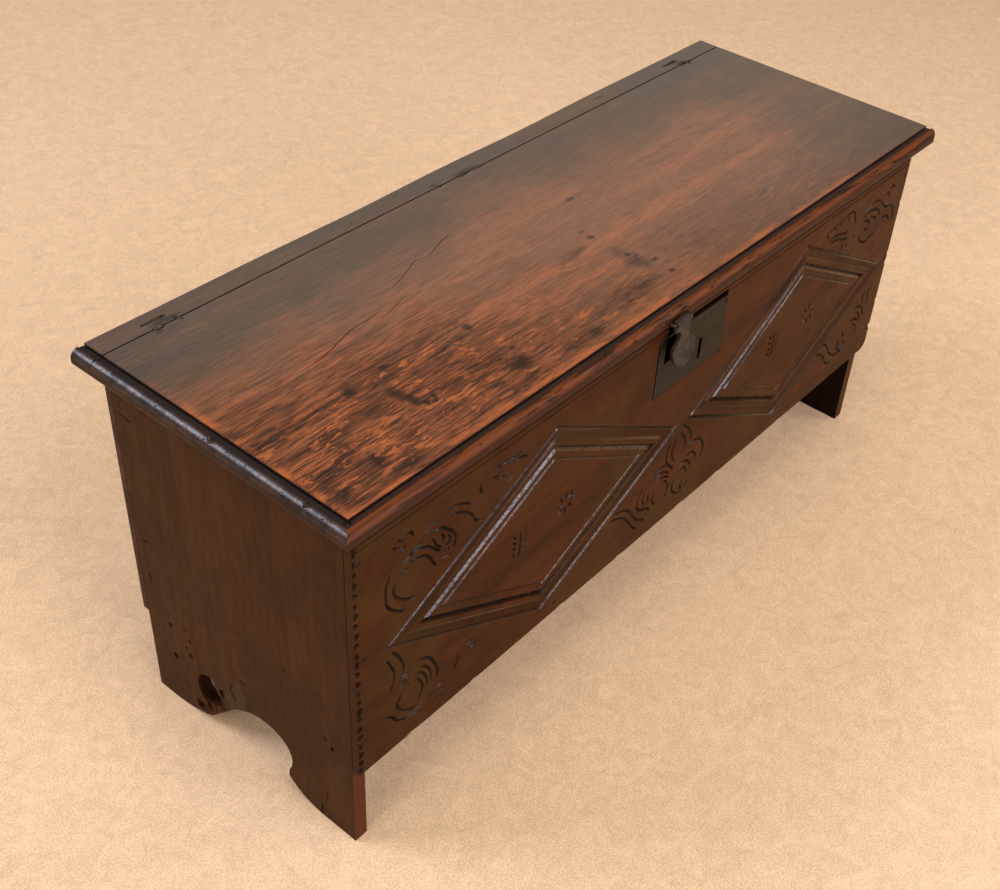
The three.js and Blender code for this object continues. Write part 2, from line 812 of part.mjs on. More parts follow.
// The hasp from the front: a square head, a narrow neck, and a pear that leans a little to one side.
function haspOutline() {
  const head = haspKnuckleWidth / 2;
  const neck = haspNeckWidth / 2;
  const belly = haspWidth / 2;
  const neckX = haspCentreX + haspNeckLean;
  const bellyX = haspCentreX + haspLean;
  const headZ = haspAxisZ - haspHeadDrop;
  const neckZ = haspAxisZ - haspNeckDrop;
  const toeZ = haspAxisZ - haspLength;
  const bellyZ = toeZ + belly;
  const waistZ = (neckZ + bellyZ) / 2;
  const shape = new THREE.Shape();
  shape.moveTo(haspCentreX - head, haspAxisZ);
  shape.lineTo(haspCentreX - head, headZ);
  shape.quadraticCurveTo(neckX - neck, headZ, neckX - neck, neckZ);
  shape.bezierCurveTo(neckX - neck, waistZ, bellyX - belly, waistZ, bellyX - belly, bellyZ);
  shape.bezierCurveTo(bellyX - belly, toeZ + belly / 3, bellyX - belly / 2, toeZ, bellyX, toeZ);
  shape.bezierCurveTo(bellyX + belly / 2, toeZ, bellyX + belly, toeZ + belly / 3, bellyX + belly, bellyZ);
  shape.bezierCurveTo(bellyX + belly, waistZ, neckX + neck, waistZ, neckX + neck, neckZ);
  shape.lineTo(haspCentreX + head, headZ);
  shape.lineTo(haspCentreX + head, haspAxisZ);
  shape.closePath();
  return shape;
}

// The hasp from the side: straight down to the loop, then bent outwards to give the fingers a hold.
function haspSide() {
  const half = haspThickness / 2;
  const y = haspAxisY;
  const toeZ = haspAxisZ - haspLength;
  const bendZ = haspAxisZ - haspLength * haspBendShare;
  const shape = new THREE.Shape();
  shape.moveTo(y - half, haspAxisZ);
  shape.lineTo(y - half, bendZ);
  shape.quadraticCurveTo(y - half, (bendZ + toeZ) / 2, y - half - haspToeKick, toeZ);
  shape.lineTo(y + half - haspToeKick, toeZ);
  shape.quadraticCurveTo(y + half, (bendZ + toeZ) / 2, y + half, bendZ);
  shape.lineTo(y + half, haspAxisZ);
  shape.closePath();
  return shape;
}

// The loop on the hasp's back, seen from the side, which the bolt shoots through.
function haspLoop() {
  const outer = loopHoleHeight / 2 + loopWall;
  const root = haspAxisY - haspThickness / 2;
  const near = haspAxisY + haspThickness / 2;
  const far = near + loopReach;
  const shape = outlineOf([
    [root, loopMiddleZ - outer],
    [far - loopEnd / 2, loopMiddleZ - outer],
    [far, loopMiddleZ - outer + loopEnd / 2],
    [far, loopMiddleZ + outer - loopEnd / 2],
    [far - loopEnd / 2, loopMiddleZ + outer],
    [root, loopMiddleZ + outer],
  ]);
  const hole = outlineOf([
    [near, loopMiddleZ - loopHoleHeight / 2],
    [far - loopEnd, loopMiddleZ - loopHoleHeight / 2],
    [far - loopEnd, loopMiddleZ + loopHoleHeight / 2],
    [near, loopMiddleZ + loopHoleHeight / 2],
  ]);
  const body = extrudeX(shape, loopX - loopThickness / 2, loopX + loopThickness / 2);
  return body.subtract(extrudeX(hole, loopX - loopThickness, loopX + loopThickness));
}

function hasp() {
  const boreRadius = stapleWireRadius + fitGap;
  const knuckleLeft = haspCentreX - haspKnuckleWidth / 2;
  const knuckleRight = haspCentreX + haspKnuckleWidth / 2;
  const disc = (radius) => {
    const shape = new THREE.Shape();
    shape.absarc(haspAxisY, haspAxisZ, radius, 0, 2 * Math.PI);
    return shape;
  };
  const knuckle = extrudeX(disc(boreRadius + haspKnuckleWall), knuckleLeft, knuckleRight, 8);
  const bore = extrudeX(disc(boreRadius), knuckleLeft - cutOverrun, knuckleRight + cutOverrun, 8);
  const outline = extrudeY(haspOutline(), haspAxisY - haspReach, haspAxisY + haspReach, 7);
  const side = extrudeX(haspSide(), haspCentreX - haspWidth, haspCentreX + haspWidth, 6);
  return union([outline.intersect(side), knuckle, haspLoop()]).subtract(bore);
}

// Places of the nails
const betweenX = (share) => left + share * (right - left);
const boardZ = (share) => bottomBoardHeight + share * (boardTop - bottomBoardHeight);
const endMiddles = [left + endBoardThickness / 2, right - endBoardThickness / 2];
const bottomMiddle = bottomBoardHeight + bottomBoardThickness / 2;
const nailPoint = (x, y, z) => new THREE.Vector3(x, y, z);

function faceNails(y, facing) {
  const corners = endMiddles.flatMap((x) => cornerNailShares.map((share) => nailPoint(x, y, boardZ(share))));
  const along = longNailShares.map((share) => nailPoint(betweenX(share), y, bottomMiddle));
  const corner = nailRow(corners, facing, cornerNailLength);
  const edge = nailRow(along, facing, cornerNailLength);
  return { nails: [...corner.nails, ...edge.nails], holes: corner.holes.add(edge.holes) };
}

function endNails(x, facing) {
  const points = endNailShares.map((share) => nailPoint(x, endFront + share * (endBack - endFront), bottomMiddle));
  return nailRow(points, facing, bottomNailLength);
}

function lockNails() {
  const halfWidth = lockPlateWidth / 2 - lockNailInset;
  const low = lockPlateTop - lockPlateHeight + lockNailInset;
  const high = lockPlateTop - lockNailInset;
  const points = [-halfWidth, halfWidth].flatMap((x) => (
    [low, high].map((z) => nailPoint(lockPlateCentreX + x, front, z))
  ));
  return nailRow(points, towardsFront, lockNailLength);
}

// Assembly
const chest = new THREE.Group();
const carcass = pivotGroup(chest, 0, 0, 0);
const lid = pivotGroup(carcass, 0, hingeAxisY, hingeAxisZ);
const haspGroup = pivotGroup(lid, haspCentreX, haspAxisY, haspAxisZ);
const boltGroup = pivotGroup(carcass, boltLeft, boltFront, boltMiddleZ);

const hinges = { left: hingeEyes(hingeXs.left), right: hingeEyes(hingeXs.right) };
const frontNails = faceNails(front, towardsFront);
const backNails = faceNails(back, alongY);
const leftNails = endNails(left, towardsLeft);
const rightNails = endNails(right, alongX);
const plateNails = lockNails();

const bottomBoard = block(
  leftInside - bottomHousingDepth,
  rightInside + bottomHousingDepth,
  frontInside + fitGap,
  backInside - fitGap,
  bottomBoardHeight,
  bottomBoardHeight + bottomBoardThickness,
);
const backOutline = outlineOf([
  [left, backEdgeHeight],
  [right, backEdgeHeight],
  [right, boardTop],
  [left, boardTop],
]);

addPiece(carcass, 'front_board', subtractAll(
  rebatedBoard(frontOutline(), front, frontInside, frontLapThickness),
  [frontNails.holes, lockPlate(fitGap), lockMortise(), topNotch(), slotNotch(), plateNails.holes, ...lozengeBorders(),
    ...scratchLines()],
), frontOak);
addPiece(carcass, 'back_board', subtractAll(
  rebatedBoard(backOutline, back, backInside, backLapThickness),
  [backNails.holes, hinges.left.backHole, hinges.right.backHole],
), endOak);
addPiece(carcass, 'left_end_board', subtractAll(
  endBoard(left, leftInside),
  [mouseHole(), leftNails.holes, frontNails.holes, backNails.holes],
), endOak);
addPiece(carcass, 'right_end_board', subtractAll(
  endBoard(right, rightInside),
  [rightNails.holes, frontNails.holes, backNails.holes],
), endOak);
addPiece(carcass, 'bottom_board', subtractAll(
  bottomBoard,
  [frontNails.holes, backNails.holes, leftNails.holes, rightNails.holes],
), innerOak);
addRow(carcass, 'front_nail', frontNails.nails, nailIron);
addRow(carcass, 'back_nail', backNails.nails, nailIron);
addRow(carcass, 'left_end_nail', leftNails.nails, nailIron);
addRow(carcass, 'right_end_nail', rightNails.nails, nailIron);

for (const [side, hinge] of Object.entries(hinges)) {
  addPiece(carcass, `${side}_back_eye`, hinge.backEye, blackIron);
  addPiece(lid, `${side}_lid_eye`, hinge.lidEye, blackIron);
}

addPiece(carcass, 'lock_plate', subtractAll(lockPlate(0), [keyhole(), haspSlot(), plateNails.holes]), blackIron);
addRow(carcass, 'lock_nail', plateNails.nails, nailIron);
addRow(carcass, 'bolt_keeper', [keeper(leftKeeperX), keeper(rightKeeperX)], blackIron);
addPiece(carcass, 'bolt_spring', boltSpring(), blackIron);
addPiece(carcass, 'lock_cap', lockCap(), blackIron);
addPiece(carcass, 'key_ward', keyWard(), blackIron);
addPiece(boltGroup, 'lock_bolt', lockBolt(), blackIron);

const lidParts = lidBoards();
const lidCuts = [...dowels(fitGap), hinges.left.lidHole, hinges.right.lidHole, haspStaple(fitGap)];
addPiece(lid, 'lid_board', subtractAll(lidParts.field, lidCuts), topOak);
addPiece(lid, 'lid_rear_strip', subtractAll(lidParts.strip, lidCuts), topOak);
addRow(lid, 'lid_dowel', dowels(0), innerOak);
addPiece(lid, 'hasp_staple', haspStaple(0), blackIron);
addPiece(haspGroup, 'hasp', hasp(), blackIron);

export default chest;
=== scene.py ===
"""The looks of a boarded oak coffer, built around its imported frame.

Lengths are in millimetres until a mesh is made, when they become metres. X runs along the chest, Y from the
front to the back and Z up, as in the frame.
"""

import json
import logging
import math
import random
from dataclasses import dataclass, replace
from enum import Enum
from functools import reduce

import bmesh
import bpy
import numpy as np
from mathutils import Matrix, Vector, noise

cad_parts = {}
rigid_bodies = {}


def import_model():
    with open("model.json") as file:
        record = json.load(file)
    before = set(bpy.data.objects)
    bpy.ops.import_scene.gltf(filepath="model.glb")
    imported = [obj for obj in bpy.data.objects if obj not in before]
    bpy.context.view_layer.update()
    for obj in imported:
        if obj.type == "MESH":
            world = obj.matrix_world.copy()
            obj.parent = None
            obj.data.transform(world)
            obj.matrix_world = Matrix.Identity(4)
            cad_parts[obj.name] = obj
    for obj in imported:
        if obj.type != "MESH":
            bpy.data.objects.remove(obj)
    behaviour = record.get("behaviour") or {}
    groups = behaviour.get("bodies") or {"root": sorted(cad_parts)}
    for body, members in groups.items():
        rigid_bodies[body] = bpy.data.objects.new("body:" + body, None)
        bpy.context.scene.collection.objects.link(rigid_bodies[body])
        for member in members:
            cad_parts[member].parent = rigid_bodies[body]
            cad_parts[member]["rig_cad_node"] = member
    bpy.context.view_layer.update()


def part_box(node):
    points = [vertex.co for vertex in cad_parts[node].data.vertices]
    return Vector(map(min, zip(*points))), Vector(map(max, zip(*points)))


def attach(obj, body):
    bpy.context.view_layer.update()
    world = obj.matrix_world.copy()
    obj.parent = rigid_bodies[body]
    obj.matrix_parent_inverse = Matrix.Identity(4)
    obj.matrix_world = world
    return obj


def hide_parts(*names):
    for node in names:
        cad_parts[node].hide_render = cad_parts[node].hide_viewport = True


MM = 0.001
IMAGE_WIDTH = 1000
IMAGE_HEIGHT = 890
CUT_OVERRUN = 3.0
SMOOTH_ANGLE = math.radians(38)
CARVED_ANGLE = math.radians(24)

log = logging.getLogger("coffer")

Colour = tuple[float, float, float, float]
Point = tuple[float, float]
Size = tuple[float, float, float]
Line = tuple[Point, ...]
Spot = tuple[float, float, float, float]


class Body(Enum):
    """The bodies of the frame that the dressed pieces ride on."""

    CARCASS = "carcass"
    LID = "lid"
    HASP = "hasp"


class Slot(Enum):
    """The record's material slots."""

    FRONT = "oak_front"
    END = "oak_end"
    LID = "oak_lid"
    INNER = "oak_inner"
    IRON = "black_iron"
    NAIL = "nail_iron"


class Grain(Enum):
    """Which way a board's grain runs, as stretch factors along X, Y and Z."""

    ALONG = (1.0, 26.0, 26.0)
    UPRIGHT = (26.0, 26.0, 1.0)


def paint(red: int, green: int, blue: int) -> Colour:
    """A colour written as on a screen, turned into Blender's linear values."""

    def linear(level: int) -> float:
        share = level / 255
        return share / 12.92 if share <= 0.04045 else ((share + 0.055) / 1.055) ** 2.4

    return (linear(red), linear(green), linear(blue), 1.0)


class Signal:
    """A number that varies over a surface, with the arithmetic that adds Math nodes for it."""

    def __init__(self, tree: "Tree", socket: bpy.types.NodeSocket) -> None:
        """Keeps the tree that the number lives in and the socket that gives it."""
        self.tree = tree
        self.socket = socket

    def _math(self, operation: str, first: "Signal | float", second: "Signal | float" = 0.0) -> "Signal":
        """One Math node.

        Args:
            operation: The Math node's operation.
            first: Its first value.
            second: Its second value.

        Returns:
            The node's result.
        """
        made = self.tree.node("ShaderNodeMath", {"operation": operation}, {0: first, 1: second})
        return Signal(self.tree, made.outputs[0])

    def __add__(self, other: "Signal | float") -> "Signal":
        """This number and another."""
        return self._math("ADD", self, other)

    __radd__ = __add__

    def __sub__(self, other: "Signal | float") -> "Signal":
        """This number less another."""
        return self._math("SUBTRACT", self, other)

    def __rsub__(self, other: "Signal | float") -> "Signal":
        """Another number less this one."""
        return self._math("SUBTRACT", other, self)

    def __mul__(self, other: "Signal | float") -> "Signal":
        """This number times another."""
        return self._math("MULTIPLY", self, other)

    __rmul__ = __mul__

    def __truediv__(self, other: "Signal | float") -> "Signal":
        """This number over another."""
        return self._math("DIVIDE", self, other)

    def __pow__(self, other: "Signal | float") -> "Signal":
        """This number to a power."""
        return self._math("POWER", self, other)

    def smaller(self, other: "Signal | float") -> "Signal":
        """The smaller of this number and another."""
        return self._math("MINIMUM", self, other)

    def larger(self, other: "Signal | float") -> "Signal":
        """The larger of this number and another."""
        return self._math("MAXIMUM", self, other)

    def sine(self) -> "Signal":
        """The sine of this number."""
        return self._math("SINE", self)

    def size(self) -> "Signal":
        """This number without its sign."""
        return self._math("ABSOLUTE", self)

    def rise(self, low: float, high: float) -> "Signal":
        """A soft step.

        Args:
            low: Where it is 0.
            high: Where it is 1; below low, the step falls instead of rising.

        Returns:
            The step, from 0 to 1.
        """
        ends = (low, high, 0.0, 1.0) if low < high else (high, low, 1.0, 0.0)
        made = self.tree.node(
            "ShaderNodeMapRange",
            {"interpolation_type": "SMOOTHSTEP"},
            {0: self, 1: ends[0], 2: ends[1], 3: ends[2], 4: ends[3]},
        )
        return Signal(self.tree, made.outputs[0])

    def rise_mm(self, low: float, high: float) -> "Signal":
        """A soft step of a length, its ends in millimetres."""
        return self.rise(low * MM, high * MM)


class Tree:
    """A material's node tree, with short ways to fill it."""

    def __init__(self, name: str) -> None:
        """Starts a material of that name with an empty tree."""
        self.material = bpy.data.materials.new(name)
        self.material.use_nodes = True
        self.nodes = self.material.node_tree.nodes
        self.links = self.material.node_tree.links
        self.nodes.clear()
        self.place = self.node("ShaderNodeTexCoord").outputs["Object"]
        split = self.node("ShaderNodeSeparateXYZ", {}, {0: self.place})
        self.x, self.y, self.z = (Signal(self, out) for out in split.outputs)

    def node(self, kind: str, settings: dict | None = None, inputs: dict | None = None) -> bpy.types.Node:
        """Any node.

        Args:
            kind: The node's type.
            settings: Its settings, which are set first.
            inputs: The values or links of its sockets, by number, name or identifier.

        Returns:
            The node.
        """
        made = self.nodes.new(kind)
        for name, value in (settings or {}).items():
            setattr(made, name, value)
        for key, value in (inputs or {}).items():
            socket = self._socket(made, key)
            source = value.socket if isinstance(value, Signal) else value
            if isinstance(source, bpy.types.NodeSocket):
                self.links.new(source, socket)
            else:
                socket.default_value = source
        return made

    def facing(self, axis: int) -> Signal:
        """How far the surface faces along an axis of the object: 0 for X, 1 for Y, 2 for Z."""
        normal = self.node("ShaderNodeNewGeometry").outputs["True Normal"]
        settings = {"vector_type": "NORMAL", "convert_from": "WORLD", "convert_to": "OBJECT"}
        turned = self.node("ShaderNodeVectorTransform", settings, {0: normal}).outputs[0]
        return Signal(self, self.node("ShaderNodeSeparateXYZ", {}, {0: turned}).outputs[axis])

    @staticmethod
    def _socket(made: bpy.types.Node, key: int | str) -> bpy.types.NodeSocket:
        """The input socket with that number, identifier or name."""
        if isinstance(key, int):
            return made.inputs[key]
        return next((s for s in made.inputs if s.identifier == key), None) or made.inputs[key]

    def stretched(self, factors: Size, shift: float = 0.0) -> bpy.types.NodeSocket:
        """The place on the object, stretched along each axis and shifted.

        Args:
            factors: What each coordinate is multiplied by.
            shift: What is added to each coordinate afterwards.

        Returns:
            The vector.
        """
        made = self.node(
            "ShaderNodeVectorMath",
            {"operation": "MULTIPLY_ADD"},
            {0: self.place, 1: factors, 2: (shift, shift, shift)},
        )
        return made.outputs[0]

    def warped(self, place: bpy.types.NodeSocket, scale: float, amount: float) -> bpy.types.NodeSocket:
        """A place pushed about by noise, so that lines wander.

        Args:
            place: The vector to push.
            scale: The scale of the noise.
            amount: How far it pushes, in the vector's own units.

        Returns:
            The pushed vector.
        """
        push = self.node("ShaderNodeTexNoise", {}, {"Vector": self.place, "Scale": scale, "Detail": 2.0})
        made = self.node(
            "ShaderNodeVectorMath",
            {"operation": "MULTIPLY_ADD"},
            {0: push.outputs["Color"], 1: (amount, amount, amount), 2: place},
        )
        return made.outputs[0]

    def noise(
        self,
        place: bpy.types.NodeSocket,
        scale: float,
        detail: float = 3.0,
        roughness: float = 0.5,
        distortion: float = 0.0,
    ) -> Signal:
        """Noise about 0.5.

        Args:
            place: Where it is read.
            scale: How many cells there are to a metre.
            detail: How many finer layers it has.
            roughness: How strong the finer layers are.
            distortion: How far it is twisted.

        Returns:
            The noise.
        """
        inputs = {
            "Vector": place,
            "Scale": scale,
            "Detail": detail,
            "Roughness": roughness,
            "Distortion": distortion,
        }
        return Signal(self, self.node("ShaderNodeTexNoise", {}, inputs).outputs["Fac"])

    def blend(
        self,
        share: Signal | float,
        first: Colour | bpy.types.NodeSocket,
        second: Colour | bpy.types.NodeSocket,
        mode: str = "MIX",
    ) -> bpy.types.NodeSocket:
        """Two colours mixed.

        Args:
            share: How much of the second there is.
            first: The first colour.
            second: The second colour.
            mode: How the second is laid over the first.

        Returns:
            The mixed colour.
        """
        made = self.node(
            "ShaderNodeMix",
            {"data_type": "RGBA", "blend_type": mode},
            {"Factor_Float": share, "A_Color": first, "B_Color": second},
        )
        return next(out for out in made.outputs if out.identifier == "Result_Color")

    def spots(self, marks: tuple[Spot, ...], across: Signal, up: Signal, ragged: float = 160.0) -> Signal:
        """Soft blots at given places.

        Args:
            marks: For each blot its place along the two axes and its two radii, in millimetres.
            across: The coordinate along the first axis.
            up: The coordinate along the second axis.
            ragged: How fine the noise is that frays them.

        Returns:
            1 in the middle of a blot and 0 away from them all.
        """
        wobble = self.noise(self.place, ragged, 3.0) * 0.9
        reaches = []
        for u, v, wide, high in marks:
            along = (across - u * MM) / (wide * MM)
            beside = (up - v * MM) / (high * MM)
            reaches.append(along * along + beside * beside)
        return (reduce(Signal.smaller, reaches) + wobble).rise(2.0, 0.4)

    def finish(
        self,
        colour: bpy.types.NodeSocket | Colour,
        roughness: Signal | float,
        height: Signal,
        depth: float,
        metallic: Signal | float = 0.0,
        specular: float = 0.5,
        wax: Signal | float = 0.0,
        wax_roughness: float = 0.2,
    ) -> bpy.types.Material:
        """Ends the tree with its shader.

        Args:
            colour: The base colour.
            roughness: The roughness.
            height: The relief, from 0 to 1.
            depth: How deep the relief is, in millimetres.
            metallic: How far it is bare metal.
            specular: How strongly the bare surface mirrors.
            wax: How much of a polish lies over it.
            wax_roughness: The roughness of that polish.

        Returns:
            The material.
        """
        bump = self.node("ShaderNodeBump", {}, {"Strength": 1.0, "Distance": depth * MM, "Height": height})
        shader = self.node(
            "ShaderNodeBsdfPrincipled",
            {},
            {
                "Base Color": colour,
                "Roughness": roughness,
                "Metallic": metallic,
                "Normal": bump.outputs[0],
                "Specular IOR Level": specular,
                "Coat Weight": wax,
                "Coat Roughness": wax_roughness,
            },
        )
        self.node("ShaderNodeOutputMaterial", {}, {"Surface": shader.outputs[0]})
        return self.material


@dataclass
class Surface:
    """What a finish has built so far: its colour, roughness, relief from 0 to 1, and polish."""

    colour: bpy.types.NodeSocket
    roughness: Signal
    height: Signal
    wax: Signal | float

    def lay(self, share: Signal, colour: Colour | bpy.types.NodeSocket) -> None:
        """Lays that share of another colour over the surface."""
        self.colour = share.tree.blend(share, self.colour, colour)


@dataclass(frozen=True)
class OakFinish:
    """Old oak: growth figure, fine grain and pores, and patches of darker polish."""

    name: str
    dark: Colour
    middle: Colour
    light: Colour
    grain: Grain
    roughness: float = 0.46
    patch_scale: float = 7.0
    patch_share: float = 0.5
    streak_share: float = 0.5
    fibre_share: float = 0.4
    grain_depth: float = 0.35
    specular: float = 0.12
    wax: float = 0.0
    wax_roughness: float = 0.24
    relief_depth: float = 0.9

    def wood(self, tree: Tree) -> Surface:
        """The bare board."""
        lie = self.grain.value
        wandering = tree.warped(tree.stretched(lie), 5.0, 0.9)
        figure = tree.noise(wandering, 1.7, 4.0, 0.55, 0.4)
        streaks = tree.noise(wandering, 9.0, 5.0, 0.6)
        fibres = tree.noise(tree.stretched((lie[0] * 2.2, lie[1] * 1.6, lie[2] * 1.6)), 24.0, 4.0, 0.65)
        patches = tree.noise(tree.place, self.patch_scale, 6.0, 0.62, 0.8)
        unevenness = tree.noise(tree.place, 38.0, 3.0, 0.55)
        body = tree.blend(figure.rise(0.3, 0.7), self.dark, self.middle)
        body = tree.blend(streaks.rise(0.46, 0.72) * self.streak_share, body, self.light)
        body = tree.blend(patches.rise(0.55, 0.39) * self.patch_share, body, self.dark)
        body = tree.blend(fibres.rise(0.5, 0.3) * self.fibre_share, body, self.dark)
        sheen = streaks * 0.14 + unevenness * 0.16 + (self.roughness - 0.15)
        relief = (fibres * 0.7 + streaks * 0.3) * self.grain_depth + unevenness
        return Surface(body, sheen, relief, self.wax)

    def layers(self, tree: Tree, surface: Surface) -> None:
        """What this finish lays over the bare board; a plain board has nothing more."""

    def material(self) -> bpy.types.Material:
        """The finished material."""
        tree = Tree(self.name)
        surface = self.wood(tree)
        self.layers(tree, surface)
        return tree.finish(
            surface.colour,
            surface.roughness,
            surface.height,
            self.relief_depth,
            specular=self.specular,
            wax=surface.wax,
            wax_roughness=self.wax_roughness,
        )


@dataclass(frozen=True)
class LidOak(OakFinish):
    """The lid's oak: rubbed orange in front of a slanting line, smoky behind with some painted sheen, with
    ray flecks and stains.
    """

    amber: Colour = paint(96, 53, 30)
    tan: Colour = paint(121, 78, 53)
    copper: Colour = paint(156, 93, 57)
    orange: Colour = paint(172, 95, 51)
    umber: Colour = paint(36, 21, 15)
    # Smoky polish; its grey is partly a painted sheen.
    smoke_and_sheen: Colour = paint(77, 61, 49)
    soot: Colour = paint(30, 20, 16)
    under: Colour = paint(84, 61, 44)
    nose: Colour = paint(98, 49, 19)
    nose_lines: Colour = paint(46, 23, 10)
    # Painted shade on the lower side of the front nose.
    nose_lower_shade: Colour = paint(44, 21, 11)
    left_nose: Colour = paint(36, 24, 19)
    left_nose_worn: Colour = paint(60, 38, 29)
    # Painted shade in the moulding's hollow.
    hollow: Colour = paint(30, 23, 20)
    # Black: the dark joint, and painted shade in the quirks.
    black: Colour = paint(8, 6, 6)
    left_x: float = -585.0
    front_y: float = -202.3
    joint_y: float = 183.7
    groove_y: float = -183.9
    groove_x: float = -566.6
    top: float = 504.0
    fleck_rows: tuple[Size, ...] = ((-17.0, -0.035, -0.12), (-74.0, -0.11, -0.168))
    fleck_scale: Size = (42.0, 210.0, 60.0)
    fleck_share: float = 0.65
    shades: tuple[Spot, ...] = (
        (-505, -86, 46, 9),
        (-512, -112, 40, 17),
        (-541, -48, 22, 12),
        (-548, -150, 14, 26),
        (-486, -150, 8, 26),
        (-470, -166, 20, 12),
        (-75, -142, 62, 16),
        (-10, -96, 14, 30),
        (-180, -160, 40, 10),
        (-300, -164, 60, 7),
        (-62, -40, 34, 8),
    )
    stains: tuple[Spot, ...] = (
        (-399, -84, 9, 13),
        (-394, -100, 7, 11),
        (-387, -114, 5, 6),
        (-379, -119, 6, 3),
        (-374, -113, 2, 6),
        (-267, -139, 17, 12),
        (-432, -46, 8, 10),
        (-375, -40, 8, 4),
        (-258, -54, 6, 8),
        (-278, -119, 5, 2),
        (-252, -114, 4, 2),
        (-6, -16, 5, 2),
        (-8, -32, 7, 5),
        (-8, -88, 5, 4),
        (3, -147, 5, 4),
        (8, -118, 7, 3),
        (45, 45, 9, 4),
        (-55, 190, 10, 3),
        (-482, 191, 22, 5),
        (-497, 181, 6, 8),
        (2, 188, 26, 5),
        (488, 190, 13, 7),
        (503, 180, 5, 9),
        (305, 201, 12, 3),
    )

    def layers(self, tree: Tree, surface: Surface) -> None:
        """Wear, the smoky colour that is partly a painted sheen, flecks, stains, and the finish of the
        moulded edges with their painted shade.
        """
        broad = tree.noise(tree.place, 4.2, 4.0, 0.55, 0.5) - 0.5
        lines = tree.noise(tree.warped(tree.stretched((3.4, 72.0, 72.0)), 7.0, 1.3), 3.2, 5.0, 0.64)
        hairs = tree.noise(tree.stretched((16.0, 300.0, 300.0), 2.0), 2.4, 4.0, 0.62)
        bands = tree.noise(tree.warped(tree.stretched((1.6, 24.0, 24.0), 5.0), 5.0, 0.5), 1.6, 4.0, 0.55)
        torn = tree.noise(tree.stretched((1.0, 2.6, 2.6)), 17.0, 6.0, 0.66, 0.5)
        warm = (tree.y + tree.x.size() * 0.09 + broad * 0.2 + (bands - 0.5) * 0.16).rise(0.165, 0.03)
        warm = warm * (1 - (tree.x + broad * 0.2).rise(0.33, 0.5) * 0.75)
        worn = (tree.x + broad * 0.5).rise(0.0, -0.4) * (tree.y + broad * 0.12).rise(0.06, -0.05)
        rubbed = tree.blend(worn, self.tan, self.amber)
        # Behind the slanting line lies the smoky colour, partly a painted sheen; dusk lays it again over the
        # front right.
        surface.colour = tree.blend(warm, self.smoke_and_sheen, rubbed)
        dusk = (tree.y + broad * 0.1).rise(-0.03, -0.12) * tree.x.rise(-0.2, 0.12)
        surface.lay(dusk * 0.55, self.smoke_and_sheen)
        glow = bands.rise(0.42, 0.68) * (warm * 0.5 + 0.15) * (1 - dusk * 0.7)
        surface.lay(glow, self.copper)
        bright = lines.rise(0.5, 0.68) * 0.65 + torn.rise(0.5, 0.66) * 0.28
        surface.lay((bright * warm * (worn * 0.6 + 0.3)).smaller(0.9), self.orange)
        gloom = lines.rise(0.49, 0.35) * 0.8 + torn.rise(0.45, 0.3) * 0.35
        surface.lay((gloom * (worn * 0.6 + 0.18)).smaller(0.9), self.umber)
        surface.lay(hairs.rise(0.56, 0.4) * (worn * 0.45 + 0.4), self.umber)
        surface.wax = (tree.y + tree.x * 0.3 + broad * 0.1 + 0.1).rise(-0.1, 0.12) * 0.6 + 0.12
        shade = tree.spots(self.shades, tree.x, tree.y, 45.0) * (torn.rise(0.56, 0.4) * 0.5 + 0.35)
        surface.lay(shade, self.soot)
        self._flecks(tree, surface)
        field = tree.z.rise_mm(self.top - 1.6, self.top - 0.4)
        stain = tree.spots(self.stains, tree.x, tree.y) * field
        surface.lay(stain * 0.85, self.soot)
        surface.roughness = surface.roughness + stain * 0.15
        self._rims(tree, surface, torn, field)
        self._mouldings(tree, surface, lines, torn)
        joint = (tree.y - self.joint_y * MM).size().rise_mm(1.3, 0.8)
        surface.lay(joint, self.black)
        inside_x = tree.x.rise_mm(self.left_x + 13, self.left_x + 17)
        inside_y = tree.y.rise_mm(self.front_y + 10, self.front_y + 14)
        below = tree.facing(2).rise(-0.4, -0.6) * inside_x * inside_y
        surface.lay(below, self.under)
        surface.wax = surface.wax * (1 - below)

    def _flecks(self, tree: Tree, surface: Surface) -> None:
        """Pale ray flecks: slanting wisps over the front half, and upright curls near the front edge."""
        gate = tree.noise(tree.place, 23.0, 3.0)
        for turn, low, high in self.fleck_rows:
            place = {
                "Vector": tree.place,
                "Rotation": (0.0, 0.0, math.radians(turn)),
                "Scale": self.fleck_scale,
            }
            turned = tree.node("ShaderNodeMapping", {"vector_type": "POINT"}, place).outputs[0]
            wisps = tree.noise(tree.warped(turned, 24.0, 2.6), 1.0, 2.0, 0.5, 0.6)
            middle = (low + high) / 2
            reach = (tree.y - middle).size().rise((low - high) * 0.75, (low - high) * 0.35)
            fading = tree.x.rise(0.05, -0.25) * 0.75 + 0.25
            share = wisps.rise(0.57, 0.64) * gate.rise(0.42, 0.54) * reach * fading * tree.x.rise(0.5, 0.3)
            surface.lay(share * self.fleck_share, self.orange)

    def _rims(self, tree: Tree, surface: Surface, torn: Signal, field: Signal) -> None:
        """The worn rims of the field, beside its grooves.

        Args:
            tree: The tree to build them in.
            surface: The surface so far.
            torn: A ragged noise that breaks the rims up.
            field: Where the field's top is.
        """
        front = tree.y.rise_mm(self.groove_y + 12, self.groove_y + 4) * tree.x.rise(0.56, 0.2)
        left = tree.x.rise_mm(self.groove_x + 13, self.groove_x + 3) * tree.y.rise(0.12, 0.02)
        rim = front.larger(left) * torn.rise(0.42, 0.6) * field
        surface.lay(rim * 0.6, self.orange)

